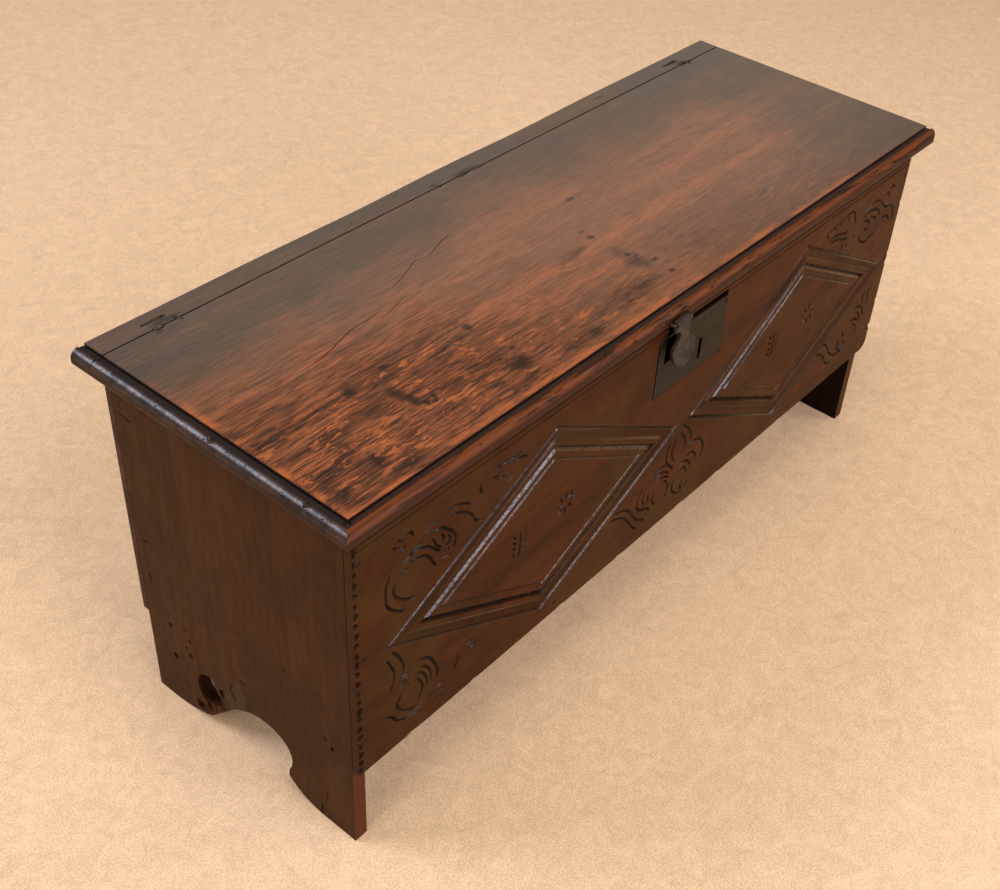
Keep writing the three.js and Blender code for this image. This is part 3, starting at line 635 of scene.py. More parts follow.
    def _mouldings(self, tree: Tree, surface: Surface, lines: Signal, torn: Signal) -> None:
        """The red front nose, darker towards its foot as painted shade, the dark polished left nose, and
        painted shade in the grey hollows and the black quirks.

        Args:
            tree: The tree to build them in.
            surface: The surface so far.
            lines: The board's lines, which streak the front nose.
            torn: A ragged noise.
        """
        nearer_left = (tree.y - tree.x - (self.front_y - self.left_x) * MM).rise_mm(-0.4, 0.4)
        in_front = tree.y.rise_mm(self.groove_y + 1.2, self.groove_y + 0.2) * (1 - nearer_left)
        at_left = tree.x.rise_mm(self.groove_x + 1.2, self.groove_x + 0.2) * nearer_left
        nose = tree.blend(lines.rise(0.55, 0.36), self.nose, self.nose_lines)
        # Painted shade: the front nose darkens towards its foot.
        nose = tree.blend(tree.z.rise_mm(self.top - 5, self.top - 10) * 0.9, nose, self.nose_lower_shade)
        surface.lay(in_front, nose)
        left_nose = tree.blend(torn.rise(0.4, 0.65), self.left_nose, self.left_nose_worn)
        surface.lay(at_left, left_nose)
        # Painted shade: the hollow is darkened.
        hollow_front = tree.y.rise_mm(self.groove_y - 9.6, self.groove_y - 8.4) * in_front
        hollow_left = tree.x.rise_mm(self.groove_x - 9.6, self.groove_x - 8.4) * at_left
        hollow = hollow_front.larger(hollow_left) * tree.z.rise_mm(self.top - 12, self.top - 8)
        surface.lay(hollow * 0.85, self.hollow)
        # Painted shade: the quirk is painted black.
        quirk_front = (tree.y - self.groove_y * MM).size().rise_mm(1.7, 1.1)
        quirk_left = (tree.x - self.groove_x * MM).size().rise_mm(1.7, 1.1)
        quirk = hollow * quirk_front.larger(quirk_left) * tree.z.rise_mm(self.top - 1.6, self.top - 2.6)
        surface.lay(quirk, self.black)
        speckle = tree.noise(tree.place, 330.0, 4.0, 0.7)
        upper = tree.facing(2).rise(0.1, 0.45) * (1 - hollow)
        polish = at_left * upper
        patchy = (torn.rise(0.36, 0.56) * 0.5 + 0.5) * (speckle.rise(0.36, 0.52) * 0.6 + 0.4)
        surface.wax = polish * patchy + in_front * upper * 0.07 + surface.wax * (1 - at_left.larger(in_front))
        surface.height = surface.height + speckle * (polish * 1.1 + 0.04)


@dataclass(frozen=True)
class CarvedOak(OakFinish):
    """The front's oak: red and olive clouds, painted shade under the lid, in every cut and deep in the board,
    and bare dry wood inside the chest.
    """

    face_y: float = -193.3
    left_x: float = -573.0
    lap_y: float = -182.8
    olive: Colour = paint(63, 40, 12)
    # Painted shade for the cuts, growing with their depth, and the grime of the lap seam.
    seam_dirt_and_cut_shade: Colour = paint(19, 9, 5)
    # Painted shade, near black, for what lies 5 to 15 mm in from the face: the lock's mortise, the holes and
    # the board's hidden edges.
    deep_hole_shade: Colour = paint(12, 9, 8)
    inside: Colour = paint(92, 66, 46)
    lozenges: tuple[Spot, ...] = ((-268.5, 300.0, 264.0, 145.0), (266.5, 304.0, 252.0, 143.0))
    band_shares: Spot = (0.635, 0.655, 1.04, 1.02)
    trough_shares: Spot = (0.845, 0.87, 0.975, 0.955)

    def layers(self, tree: Tree, surface: Surface) -> None:
        """Clouds of colour, painted shade under the lid, in the cuts and deep in the board, polish in the
        cuts, and the dry inner side.
        """
        broad = tree.noise(tree.place, 9.0, 4.0, 0.55, 0.5)
        surface.lay(broad.rise(0.46, 0.66) * 0.6, self.olive)
        # Painted shade: the top of the board darkens under the lid's overhang.
        high = tree.z.rise(0.462, 0.482)
        surface.lay(high * 0.5, self.dark)
        band = self._ring(tree, self.band_shares)
        trough = self._ring(tree, self.trough_shares)
        within = tree.x.rise_mm(self.left_x + 1, self.left_x + 2.5)
        # Painted shade: darker with depth in the strokes, at the feet of the border runs and over their
        # troughs.
        cut = tree.y.rise_mm(self.face_y + 0.15, self.face_y + 1.2) * (1 - band)
        foot = tree.y.rise_mm(self.face_y + 1.8, self.face_y + 2.8) * band
        foot = foot.larger(trough * 0.5)
        surface.lay((cut * 0.95).larger(foot * 0.75) * within, self.seam_dirt_and_cut_shade)
        lap = (tree.y - self.lap_y * MM).size().rise_mm(0.9, 0.3) * (1 - within)
        surface.lay(lap, self.seam_dirt_and_cut_shade)
        steep = tree.facing(1).rise(-0.95, -0.85) * tree.x.rise_mm(self.left_x + 3, self.left_x + 5)
        speckle = tree.noise(tree.place, 300.0, 4.0, 0.7)
        glints = speckle.rise(0.4, 0.54) * 0.75 + 0.25
        surface.wax = steep * (band * 0.75 + 0.25) * glints * (1 - trough * 0.8) + self.wax
        surface.height = surface.height + speckle * (steep * 0.35 + 0.03)
        behind = tree.y.rise_mm(self.face_y + 15, self.face_y + 17)
        # Painted shade: near black deeper than 5 mm in from the face, short of the dry inner side.
        works = tree.y.rise_mm(self.face_y + 4.6, self.face_y + 5.6) * (1 - behind) * within
        surface.lay(works, self.deep_hole_shade)
        surface.lay(behind, self.inside)
        surface.roughness = surface.roughness + behind * 0.3

    def _ring(self, tree: Tree, shares: Spot) -> Signal:
        """A band round each lozenge.

        Args:
            tree: The tree to build it in.
            shares: Where the band's inner side starts and is full, and where its outer side ends and is full.

        Returns:
            1 in the bands and 0 away from them.
        """
        rings = []
        for x, z, wide, tall in self.lozenges:
            share = (tree.x - x * MM).size() / (wide * MM) + (tree.z - z * MM).size() / (tall * MM)
            rings.append(share.rise(*shares[:2]) * share.rise(*shares[2:]))
        return reduce(Signal.larger, rings)


@dataclass(frozen=True)
class EndOak(OakFinish):
    """The end boards' oak, with an arched growth figure, painted shade that makes the foot black inside and
    the gnawed hole dark, a dry inner side above, and painted light on the left foot's front face.
    """

    outer_x: float = -573.0
    figure_middle: Point = (0.0, 250.0)
    scar: tuple[Spot, ...] = ()
    scar_colour: Colour = paint(66, 54, 34)
    # Where the inside of the gnawed hole is painted dark as shade.
    gnawed: tuple[Spot, ...] = ((67, 62, 24, 30),)
    seams_y: Point = (-182.5, 169.4)
    seam_z: float = 131.0
    floor_z: float = 143.0
    # Painted light: the redder look of the lit left foot's front face; the shaded right foot gets none.
    lit_toe_red: Colour = paint(84, 43, 24)
    lit_toe_share: float = 0.8
    # Near black: painted shade on the feet's inner sides and in the gnawed hole, and the dark seams.
    foot: Colour = paint(20, 13, 10)
    inside: Colour = paint(88, 64, 46)

    def layers(self, tree: Tree, surface: Surface) -> None:
        """The arched figure, the scar, the inner side, and painted light and shade at the feet and in the
        hole.
        """
        wobble = tree.noise(tree.place, 9.0, 3.0) - 0.5
        across = (tree.y - self.figure_middle[0] * MM) * 5.2 + wobble * 0.22
        up = (tree.z - self.figure_middle[1] * MM) * 1.1
        rings = ((across * across + up * up) ** 0.5 * 88.0).sine()
        surface.lay(rings.rise(0.2, 1.0) * 0.22, self.dark)
        surface.lay(rings.rise(-0.2, -1.0) * 0.16, self.light)
        if self.scar:
            scar = tree.spots(self.scar, tree.y, tree.z, 90.0)
            surface.lay(scar * 0.75, self.scar_colour)
        inwards = 1 if self.outer_x < 0 else -1
        # Painted shade: the inside of the gnawed hole is painted near black.
        deep = tree.x.rise_mm(self.outer_x + inwards * 2.5, self.outer_x + inwards * 5)
        gnawed = tree.spots(self.gnawed, tree.y, tree.z) * deep
        surface.lay(gnawed, self.foot)
        seam = tree.y.rise_mm(self.seams_y[0] + 1.1, self.seams_y[0] + 0.4)
        seam = seam.larger(tree.y.rise_mm(self.seams_y[1] - 1.4, self.seams_y[1] - 0.5))
        seam = seam * tree.z.rise_mm(self.seam_z - 1, self.seam_z + 1)
        surface.lay(seam, self.foot)
        # Painted light: the lit left foot's front face is made redder; on the right its share is 0.
        toe = tree.y.rise_mm(self.seams_y[0] + 1, self.seams_y[0]) * tree.facing(1).rise(-0.5, -0.8)
        surface.lay(toe * self.lit_toe_share, self.lit_toe_red)
        # Painted shade: the inner side of each foot, under the chest, is painted near black.
        behind = (tree.facing(0) * inwards).rise(0.5, 0.7)
        lower = tree.z.rise_mm(self.floor_z, self.floor_z - 3)
        surface.lay(behind * lower * 0.9, self.foot)
        surface.lay(behind * (1 - lower), self.inside)
        surface.roughness = surface.roughness + behind * 0.3


@dataclass(frozen=True)
class IronFinish:
    """Old forged iron, pitted and browned, lighter in random clouds."""

    name: str
    dark: Colour
    light: Colour
    rust: Colour
    roughness: float = 0.48
    metallic: float = 0.35
    pit_scale: float = 260.0
    specular: float = 0.25
    relief_depth: float = 0.6

    def material(self) -> bpy.types.Material:
        """The finished material."""
        tree = Tree(self.name)
        cloud = tree.noise(tree.place, 70.0, 5.0, 0.62, 0.4)
        pits = tree.noise(tree.place, self.pit_scale, 4.0, 0.6)
        colour = tree.blend(cloud.rise(0.36, 0.66), self.dark, self.light)
        colour = tree.blend(pits.rise(0.56, 0.7) * 0.6, colour, self.rust)
        height = cloud * 0.6 + pits * 0.5
        sheen = cloud * 0.22 + pits * 0.18 + (self.roughness - 0.2)
        metal = self.metallic - pits.rise(0.56, 0.7) * 0.3
        depth = self.relief_depth
        return tree.finish(colour, sheen, height, depth, metallic=metal, specular=self.specular)


def smooth_path(points: list[tuple[float, ...]], step: float) -> np.ndarray:
    """A smooth line through points.

    Args:
        points: The points, in the plane or in space.
        step: About how far apart the line's own points lie.

    Returns:
        The line's points, one to a row.
    """
    corners = np.array(points, float)
    padded = np.vstack([2 * corners[0] - corners[1], corners, 2 * corners[-1] - corners[-2]])
    line = []
    for before, start, end, after in zip(padded, padded[1:], padded[2:], padded[3:]):
        count = max(2, math.ceil(float(np.linalg.norm(end - start)) / step))
        for share in np.arange(count) / count:
            line.append(
                0.5
                * (
                    2 * start
                    + (end - before) * share
                    + (2 * before - 5 * start + 4 * end - after) * share**2
                    + (3 * start - before - 3 * end + after) * share**3
                )
            )
    return np.array([*line, corners[-1]])


def new_object(name: str, mesh: bpy.types.Mesh) -> bpy.types.Object:
    """An object for a mesh, linked into the scene."""
    made = bpy.data.objects.new(name, mesh)
    bpy.context.scene.collection.objects.link(made)
    return made


def build_mesh(name: str, vertices: np.ndarray, faces: list[tuple[int, ...]]) -> bpy.types.Object:
    """A closed mesh with its faces pointing out.

    Args:
        name: The object's name.
        vertices: The corners, in millimetres.
        faces: The faces, as numbers of corners.

    Returns:
        The object, in metres.
    """
    mesh = bpy.data.meshes.new(name)
    mesh.from_pydata([tuple(corner) for corner in np.asarray(vertices, float) * MM], [], faces)
    shell = bmesh.new()
    shell.from_mesh(mesh)
    bmesh.ops.recalc_face_normals(shell, faces=shell.faces)
    shell.to_mesh(mesh)
    shell.free()
    return new_object(name, mesh)


def loft(name: str, rings: np.ndarray) -> bpy.types.Object:
    """A closed skin over a row of rings that have the same number of corners.

    Args:
        name: The object's name.
        rings: The rings' corners: ring, corner, then X, Y and Z in millimetres.

    Returns:
        The object.
    """
    count, corners = rings.shape[:2]
    last = (count - 1) * corners
    faces: list[tuple[int, ...]] = [tuple(range(corners)), tuple(range(last, last + corners))]
    for start in range(0, last, corners):
        for i in range(corners):
            j = (i + 1) % corners
            faces.append((start + i, start + j, start + corners + j, start + corners + i))
    return build_mesh(name, rings.reshape(-1, 3), faces)


def block(name: str, low: Size, high: Size) -> bpy.types.Object:
    """A plain cutter between two corners, in millimetres."""
    ring = [(low[0], low[1]), (high[0], low[1]), (high[0], high[1]), (low[0], high[1])]
    return loft(name, np.array([[(x, y, z) for x, y in ring] for z in (low[2], high[2])]))


def gouge(
    path: np.ndarray,
    outwards: Size,
    width: float,
    depth: float,
    taper: float = 6.0,
    shoulder: float = 0.62,
) -> bpy.types.Object:
    """The cutter of one stroke of a gouge: a narrow boat shape along a line on a face.

    Args:
        path: The line on the face, in space.
        outwards: The face's direction.
        width: How wide the cut is.
        depth: How deep it is.
        taper: Over what length it runs out at each end.
        shoulder: How full its section is: near 0.5 is a V, near 1 a trough.

    Returns:
        The cutter.
    """
    normal = np.array(outwards, float)
    ahead = np.gradient(path, axis=0)
    ahead /= np.linalg.norm(ahead, axis=1)[:, None]
    beside = np.cross(ahead, normal)
    length = np.concatenate([[0], np.cumsum(np.linalg.norm(np.diff(path, axis=0), axis=1))])
    swell = np.clip(np.minimum(length, length[-1] - length) / taper, 0.02, 1.0) ** 0.6
    section = [(-0.5, 0.0), (-0.3, -shoulder), (-0.08, -1.0), (0.08, -1.0), (0.3, -shoulder), (0.5, 0.0)]
    rings = []
    for centre, side, share in zip(path, beside, swell):
        ring = [centre + side * u * width * share + normal * v * depth * share for u, v in section]
        ring.append(centre + side * 0.5 * width * share + normal * CUT_OVERRUN)
        ring.append(centre - side * 0.5 * width * share + normal * CUT_OVERRUN)
        rings.append(ring)
    return loft("gouge_cut", np.array(rings))


def pebble(centre: Size, radii: Size, seed: int, rough: float = 0.25, fineness: int = 3) -> bpy.types.Object:
    """The cutter of a dent or a torn place: a rough ball.

    Args:
        centre: Its middle.
        radii: Its half sizes.
        seed: What makes its roughness its own.
        rough: How uneven it is, as a share of its radius.
        fineness: How often its faces are split.

    Returns:
        The cutter.
    """
    ball = bmesh.new()
    bmesh.ops.create_icosphere(ball, subdivisions=fineness, radius=1.0)
    for corner in ball.verts:
        spread = 1 + rough * noise.noise(corner.co * 1.7 + Vector((seed * 3.7, seed * 1.3, seed)))
        corner.co = Vector(centre) * MM + Vector([corner.co[i] * spread * radii[i] * MM for i in range(3)])
    mesh = bpy.data.meshes.new("pebble_cut")
    ball.to_mesh(mesh)
    ball.free()
    return new_object("pebble_cut", mesh)


def applied(piece: bpy.types.Object) -> bpy.types.Object:
    """Turns a piece's modifiers into its mesh."""
    graph = bpy.context.evaluated_depsgraph_get()
    mesh = bpy.data.meshes.new_from_object(piece.evaluated_get(graph))
    piece.modifiers.clear()
    old = piece.data
    piece.data = mesh
    bpy.data.meshes.remove(old)
    return piece


def carve(piece: bpy.types.Object, cutters: list[bpy.types.Object], operation: str = "DIFFERENCE") -> None:
    """Cuts a piece with each cutter in turn, and throws the cutters away.

    Args:
        piece: The piece.
        cutters: Closed cutters.
        operation: What is done with each of them.
    """
    for cutter in cutters:
        change = piece.modifiers.new("cut", "BOOLEAN")
        change.solver = "MANIFOLD"
        change.operation = operation
        change.object = cutter
    applied(piece)
    for cutter in cutters:
        mesh = cutter.data
        bpy.data.objects.remove(cutter)
        bpy.data.meshes.remove(mesh)


def soften(piece: bpy.types.Object, width: float, segments: int = 2, angle: float = 40.0) -> None:
    """Rounds a piece's arrises.

    Args:
        piece: The piece.
        width: How far the rounding reaches from the edge.
        segments: How many faces it has.
        angle: How sharp an edge has to be, in degrees.
    """
    change = piece.modifiers.new("round", "BEVEL")
    change.width = width * MM
    change.segments = segments
    change.limit_method = "ANGLE"
    change.angle_limit = math.radians(angle)
    change.use_clamp_overlap = True
    applied(piece)


def join_flats(mesh: bpy.types.Mesh) -> None:
    """Joins the faces of a mesh that lie in one plane."""
    shell = bmesh.new()
    shell.from_mesh(mesh)
    bmesh.ops.remove_doubles(shell, verts=shell.verts, dist=0.005 * MM)
    bmesh.ops.dissolve_limit(shell, angle_limit=math.radians(0.4), verts=shell.verts, edges=shell.edges)
    shell.to_mesh(mesh)
    shell.free()


def carried(node: str, name: str) -> bpy.types.Object:
    """A new piece with the shape of a frame node, its flat faces joined up.

    Args:
        node: The frame's node.
        name: The new piece's name.

    Returns:
        The new piece.
    """
    mesh = bpy.data.objects[node].data.copy()
    mesh.name = name
    join_flats(mesh)
    return new_object(name, mesh)


def dress(
    piece: bpy.types.Object,
    material: bpy.types.Material,
    body: Body,
    slot: Slot,
    *nodes: str,
    crease: float = SMOOTH_ANGLE,
) -> None:
    """Gives a piece its material and its place in the frame.

    Args:
        piece: The piece.
        material: Its material.
        body: The body that it rides on.
        slot: The record's slot that its finish comes from; not used.
        nodes: The frame's nodes that it stands for.
        crease: How far faces turn, in radians, before the edge between them stays sharp.
    """
    piece.data.materials.clear()
    piece.data.materials.append(material)
    carried_normals = piece.data.attributes.get("custom_normal")
    if carried_normals:
        piece.data.attributes.remove(carried_normals)
    piece.data.polygons.foreach_set("use_smooth", [True] * len(piece.data.polygons))
    piece.data.set_sharp_from_angle(angle=crease)
    change = piece.modifiers.new("level", "WEIGHTED_NORMAL")
    change.keep_sharp = True
    change.weight = 90
    applied(piece)
    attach(piece, body.value)
    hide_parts(*nodes)
    log.info("%s: %d faces, on %s", piece.name, len(piece.data.polygons), body.value)


def keep_shape(node: bpy.types.Object, material: bpy.types.Material) -> None:
    """Dresses a frame node that keeps its shape."""
    node.data.materials.clear()
    node.data.materials.append(material)
    log.info("%s keeps its shape", node.name)


def edges_of(node: str) -> tuple[Vector, Vector]:
    """A frame node's lowest and highest corners, in millimetres."""
    low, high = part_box(node)
    return low / MM, high / MM


@dataclass
class CarvedFront:
    """The front board with its gouge-cut scrolls, nicked edges and small motifs in the lozenges."""

    stroke_width: float = 4.2
    stroke_depth: float = 2.0
    stroke_step: float = 3.5
    nick_pitch: float = 14.3
    nick_radii: Size = (6.2, 2.2, 6.0)
    arris: float = 0.9
    right_knocks: tuple[float, ...] = (232, 301, 318, 404)
    corner_knock_z: float = 184.0
    lower_knock_shares: tuple[float, ...] = (0.07, 0.16, 0.31, 0.42, 0.55, 0.63, 0.78, 0.9)
    lozenges: tuple[Line, ...] = (
        ((-531, 301), (-268, 160), (-6, 294), (-262, 444)),
        ((17, 294), (254, 166), (516, 309), (262, 447)),
    )
    plain_run: Point = (48.5, 4.4)
    outer_run: Line = ((-0.6, 0.0), (1.8, -3.0), (4.8, -0.5), (13.4, -2.0), (17.2, 0.0))
    inner_run: Line = (
        (23.6, 0.0),
        (24.8, -5.2),
        (31.2, -0.2),
        (38.6, -0.4),
        (40.2, -2.6),
        (42.8, 0.0),
    )
    rosettes: Line = ((-234, 313), (304, 318))
    rosette_radii: Point = (5.0, 19.0)
    rosette_petals: int = 8
    sprigs: Line = ((-316, 303), (214, 310))
    sprig_height: float = 42.0
    sprig_leaves: int = 4
    upper_left: tuple[Line, ...] = (
        ((-521, 405), (-527, 392), (-528, 374), (-525, 360), (-515, 348), (-505, 340), (-497, 337)),
        ((-514, 389), (-517, 378), (-513, 366), (-506, 358), (-495, 351), (-484, 347)),
        ((-498, 411), (-485, 412), (-471, 408), (-461, 400), (-453, 391), (-447, 385)),
        ((-496, 400), (-485, 401), (-473, 397), (-465, 389), (-460, 379), (-454, 369)),
        ((-461, 420), (-447, 418), (-437, 409), (-427, 398), (-425, 388), (-428, 376)),
        ((-463, 414), (-457, 406), (-454, 398), (-446, 390)),
        ((-449, 411), (-443, 403), (-446, 395)),
        ((-443, 398), (-437, 401), (-433, 395), (-437, 389), (-443, 392)),
        ((-444, 383), (-437, 381), (-432, 385)),
        ((-446, 371), (-440, 373), (-432, 370)),
        ((-437, 437), (-423, 434), (-411, 428), (-402, 421)),
        ((-434, 424), (-421, 422), (-407, 412), (-399, 404), (-394, 393), (-385, 387)),
        ((-519, 440), (-513, 434), (-506, 432)),
        ((-511, 445), (-505, 440), (-497, 438)),
        ((-510, 425), (-503, 428), (-497, 431)),
        ((-500, 444), (-492, 443), (-487, 433)),
        ((-506, 406), (-498, 411), (-484, 416), (-473, 421)),
        ((-476, 426), (-466, 430), (-452, 434)),
        ((-508, 393), (-502, 395), (-495, 397)),
        ((-366, 444), (-352, 446), (-336, 444), (-316, 446)),
        ((-364, 430), (-355, 428), (-342, 429)),
        ((-357, 414), (-345, 415), (-330, 421)),
        ((-340, 434), (-332, 438), (-320, 436), (-311, 430)),
        ((-369, 437), (-362, 434), (-358, 438)),
        ((-386, 441), (-388, 432), (-384, 424)),
    )
    lower_left: tuple[Line, ...] = (
        ((-529, 284), (-523, 271), (-518, 258), (-517, 247), (-521, 237), (-524, 229)),
        ((-523, 292), (-515, 282), (-507, 268), (-503, 256), (-504, 243)),
        ((-509, 236), (-501, 238), (-492, 241)),
        ((-507, 230), (-500, 231), (-492, 234)),
        ((-514, 223), (-506, 225), (-498, 228)),
        ((-504, 213), (-498, 215), (-492, 218)),
        ((-483, 242), (-473, 241), (-463, 233), (-455, 220), (-450, 207), (-451, 190)),
        ((-479, 232), (-469, 225), (-462, 213), (-460, 204), (-462, 194)),
        ((-485, 226), (-475, 220), (-468, 207), (-466, 192)),
        ((-489, 218), (-480, 212), (-474, 200), (-476, 188), (-482, 178)),
        ((-506, 212), (-513, 203), (-512, 191), (-501, 179), (-489, 172), (-475, 168)),
        ((-530, 192), (-521, 184), (-515, 174), (-503, 166), (-489, 162), (-476, 160)),
        ((-472, 171), (-460, 172), (-447, 175), (-437, 180)),
        ((-458, 160), (-447, 162), (-436, 166)),
        ((-406, 202), (-397, 205), (-388, 209)),
        ((-400, 193), (-391, 196), (-383, 200)),
        ((-416, 200), (-418, 190), (-423, 178)),
    )
    centre: tuple[Line, ...] = (
        ((-138, 217), (-124, 212), (-106, 202), (-94, 188), (-82, 170), (-70, 160)),
        ((-128, 223), (-110, 217), (-94, 206), (-84, 192), (-74, 178), (-58, 168), (-42, 166)),
        ((-67, 228), (-76, 218), (-78, 206), (-73, 194), (-60, 187), (-50, 182), (-46, 175)),
        ((-62, 218), (-66, 207), (-61, 194)),
        ((-50, 211), (-54, 203), (-52, 195)),
        ((-40, 205), (-43, 195), (-39, 184), (-31, 178)),
        ((-33, 210), (-22, 211), (-12, 204), (-8, 192), (-11, 180), (-15, 173)),
        ((-40, 218), (-27, 220), (-15, 215), (-7, 209)),
        ((-44, 228), (-31, 230), (-19, 225), (-8, 217)),
        ((-52, 237), (-38, 240), (-22, 238), (-10, 230), (0, 219)),
        ((-14, 274), (-21, 263), (-22, 250), (-17, 238), (-10, 231)),
        ((-3, 272), (-9, 260), (-8, 246), (1, 230)),
        ((4, 279), (13, 269), (19, 257), (19, 243)),
        ((7, 289), (20, 278), (30, 264), (33, 249)),
        ((26, 241), (42, 243), (56, 238), (66, 226), (69, 212), (62, 198)),
        ((26, 225), (40, 224), (50, 216), (55, 204)),
        ((8, 216), (24, 218), (36, 211), (44, 199)),
        ((16, 207), (27, 206), (34, 196), (33, 188)),
        ((8, 198), (3, 188), (6, 176), (16, 167), (29, 163)),
        ((27, 184), (24, 175), (29, 166), (37, 167), (40, 178)),
    )
    upper_right: tuple[Line, ...] = (
        ((309, 442), (334, 446), (366, 451), (381, 449), (388, 440), (392, 429), (397, 425)),
        ((311, 440), (316, 436), (320, 431)),
        ((331, 445), (334, 441), (338, 436)),
        ((346, 448), (350, 442), (353, 436)),
        ((367, 450), (370, 443), (373, 434)),
        ((321, 427), (340, 428), (360, 423), (376, 420), (388, 422)),
        ((326, 421), (346, 420), (364, 412), (381, 407)),
        ((362, 406), (367, 400), (366, 393)),
        ((376, 402), (380, 396), (378, 388)),
        ((397, 408), (400, 403), (399, 396)),
        ((412, 432), (428, 437), (446, 439), (462, 435), (474, 424), (484, 416), (499, 413)),
        ((499, 413), (510, 406), (516, 392), (518, 376)),
        ((419, 424), (436, 427), (452, 425), (464, 418), (470, 407)),
        ((421, 415), (432, 415), (440, 409), (443, 403)),
        ((440, 417), (452, 412), (463, 405)),
        ((417, 401), (418, 390), (428, 381), (441, 376), (456, 379), (467, 382)),
        ((427, 404), (437, 398), (447, 398)),
        ((478, 399), (491, 398), (501, 393), (508, 383)),
        ((473, 437), (484, 439), (491, 428)),
        ((485, 444), (496, 446), (503, 441)),
        ((453, 355), (464, 361), (476, 363)),
        ((459, 345), (472, 352), (488, 362)),
    )
    lower_right: tuple[Line, ...] = (
        ((360, 213), (374, 211), (386, 202), (396, 188), (408, 176), (427, 173)),
        ((362, 226), (380, 224), (392, 218), (402, 204), (412, 192), (429, 182), (457, 180)),
        ((430, 213), (430, 197), (438, 185), (457, 182)),
        ((437, 222), (441, 214), (447, 208)),
        ((448, 201), (451, 195), (455, 189)),
        ((457, 248), (474, 249), (486, 242), (494, 232), (499, 219)),
        ((469, 239), (480, 234), (488, 223), (491, 211)),
        ((459, 228), (474, 226), (485, 217)),
        ((467, 220), (476, 214), (482, 206), (482, 191)),
        ((488, 272), (484, 260), (488, 245)),
        ((503, 274), (500, 257), (502, 236)),
    )

    def build(self) -> bpy.types.Object:
        """The carved board."""
        low, high = edges_of("front_board")
        piece = carried("front_board", "carved_front_board")
        self._run_borders(piece, low.y)
        soften(piece, self.arris)
        strokes = [*self._scrolls(low.y), *self._motifs(low.y)]
        carve(piece, [*strokes, *self._nicks(low, high), *self._wear(low, high)])
        return piece

    def _run_borders(self, piece: bpy.types.Object, face: float) -> None:
        """Makes the lozenges' borders good and runs their two mouldings."""
        inwards, deep = self.plain_run
        plain = ((-1.0, -deep), (inwards, -deep), (inwards, 0.0), (-1.0, 0.0))
        carve(piece, [self._run(corners, plain, face) for corners in self.lozenges], "UNION")
        cuts = []
        for corners in self.lozenges:
            for section in (self.outer_run, self.inner_run):
                over = ((section[-1][0], CUT_OVERRUN), (section[0][0], CUT_OVERRUN))
                cuts.append(self._run(corners, (*section, *over), face))
        carve(piece, cuts)
        join_flats(piece.data)

    @staticmethod
    def _run(corners: Line, section: Line, face: float) -> bpy.types.Object:
        """A run of one section all round a lozenge, mitred at its corners.

        Args:
            corners: The lozenge's outer corners, in turn.
            section: How far in from its edge and how far out of the face each point lies.
            face: Where the face is.

        Returns:
            The run.
        """
        points = np.array(corners, float)
        ahead = np.roll(points, -1, axis=0) - points
        ahead /= np.linalg.norm(ahead, axis=1)[:, None]
        inwards = np.stack([-ahead[:, 1], ahead[:, 0]], axis=1)
        before = np.roll(inwards, 1, axis=0)
        mitres = (inwards + before) / (1 + np.sum(inwards * before, axis=1))[:, None]
        rings = [
            [(*(point + mitre * u), face - v) for u, v in section] for point, mitre in zip(points, mitres)
        ]
        vertices = np.array(rings).reshape(-1, 3)[:, [0, 2, 1]]
        count, total = len(section), len(section) * len(corners)
        faces = [
            (
                ring + i,
                ring + (i + 1) % count,
                (ring + count) % total + (i + 1) % count,
                (ring + count) % total + i,
            )
            for ring in range(0, total, count)
            for i in range(count)
        ]
        return build_mesh("border_run", vertices, faces)

    def _stroke(self, points: Line, face: float, width: float, depth: float) -> bpy.types.Object:
        """The cutter of one stroke through points of the face."""
        line = smooth_path(list(points), self.stroke_step)
        path = np.stack([line[:, 0], np.full(len(line), face), line[:, 1]], axis=1)
        return gouge(path, (0, -1, 0), width, depth)

    def _scrolls(self, face: float) -> list[bpy.types.Object]:
        """The scrolls and leaves round the lozenges, a little uneven as a hand makes them."""
        hand = random.Random(11)
        groups = (self.upper_left, self.lower_left, self.centre, self.upper_right, self.lower_right)
        return [
            self._stroke(
                points,
                face,
                self.stroke_width * hand.uniform(0.85, 1.2),
                self.stroke_depth * hand.uniform(0.85, 1.15),
            )
            for group in groups
            for points in group
        ]

    def _motifs(self, face: float) -> list[bpy.types.Object]:
        """A rosette of short petals and a sprig of leaves in each lozenge."""
        cuts = []
        near, far = self.rosette_radii
        for x, z in self.rosettes:
            for turn in np.arange(self.rosette_petals) / self.rosette_petals * 2 * math.pi:
                ahead = np.array([math.cos(turn), math.sin(turn)])
                ends = (tuple(np.array([x, z]) + near * ahead), tuple(np.array([x, z]) + far * ahead))
                cuts.append(self._stroke(ends, face, self.stroke_width * 1.4, self.stroke_depth))
        for x, z in self.sprigs:
            foot = z - self.sprig_height / 2
            stem = ((x - 1, foot), (x + 1, z), (x, foot + self.sprig_height))
            cuts.append(self._stroke(stem, face, self.stroke_width, self.stroke_depth))
            for leaf in range(self.sprig_leaves):
                root = foot + self.sprig_height * (leaf + 0.6) / (self.sprig_leaves + 0.6)
                for side in (-1, 1):
                    line = ((x + side * 3.5, root), (x + side * 9, root + 3), (x + side * 12.5, root + 9))
                    cuts.append(self._stroke(line, face, self.stroke_width, self.stroke_depth))
        return cuts

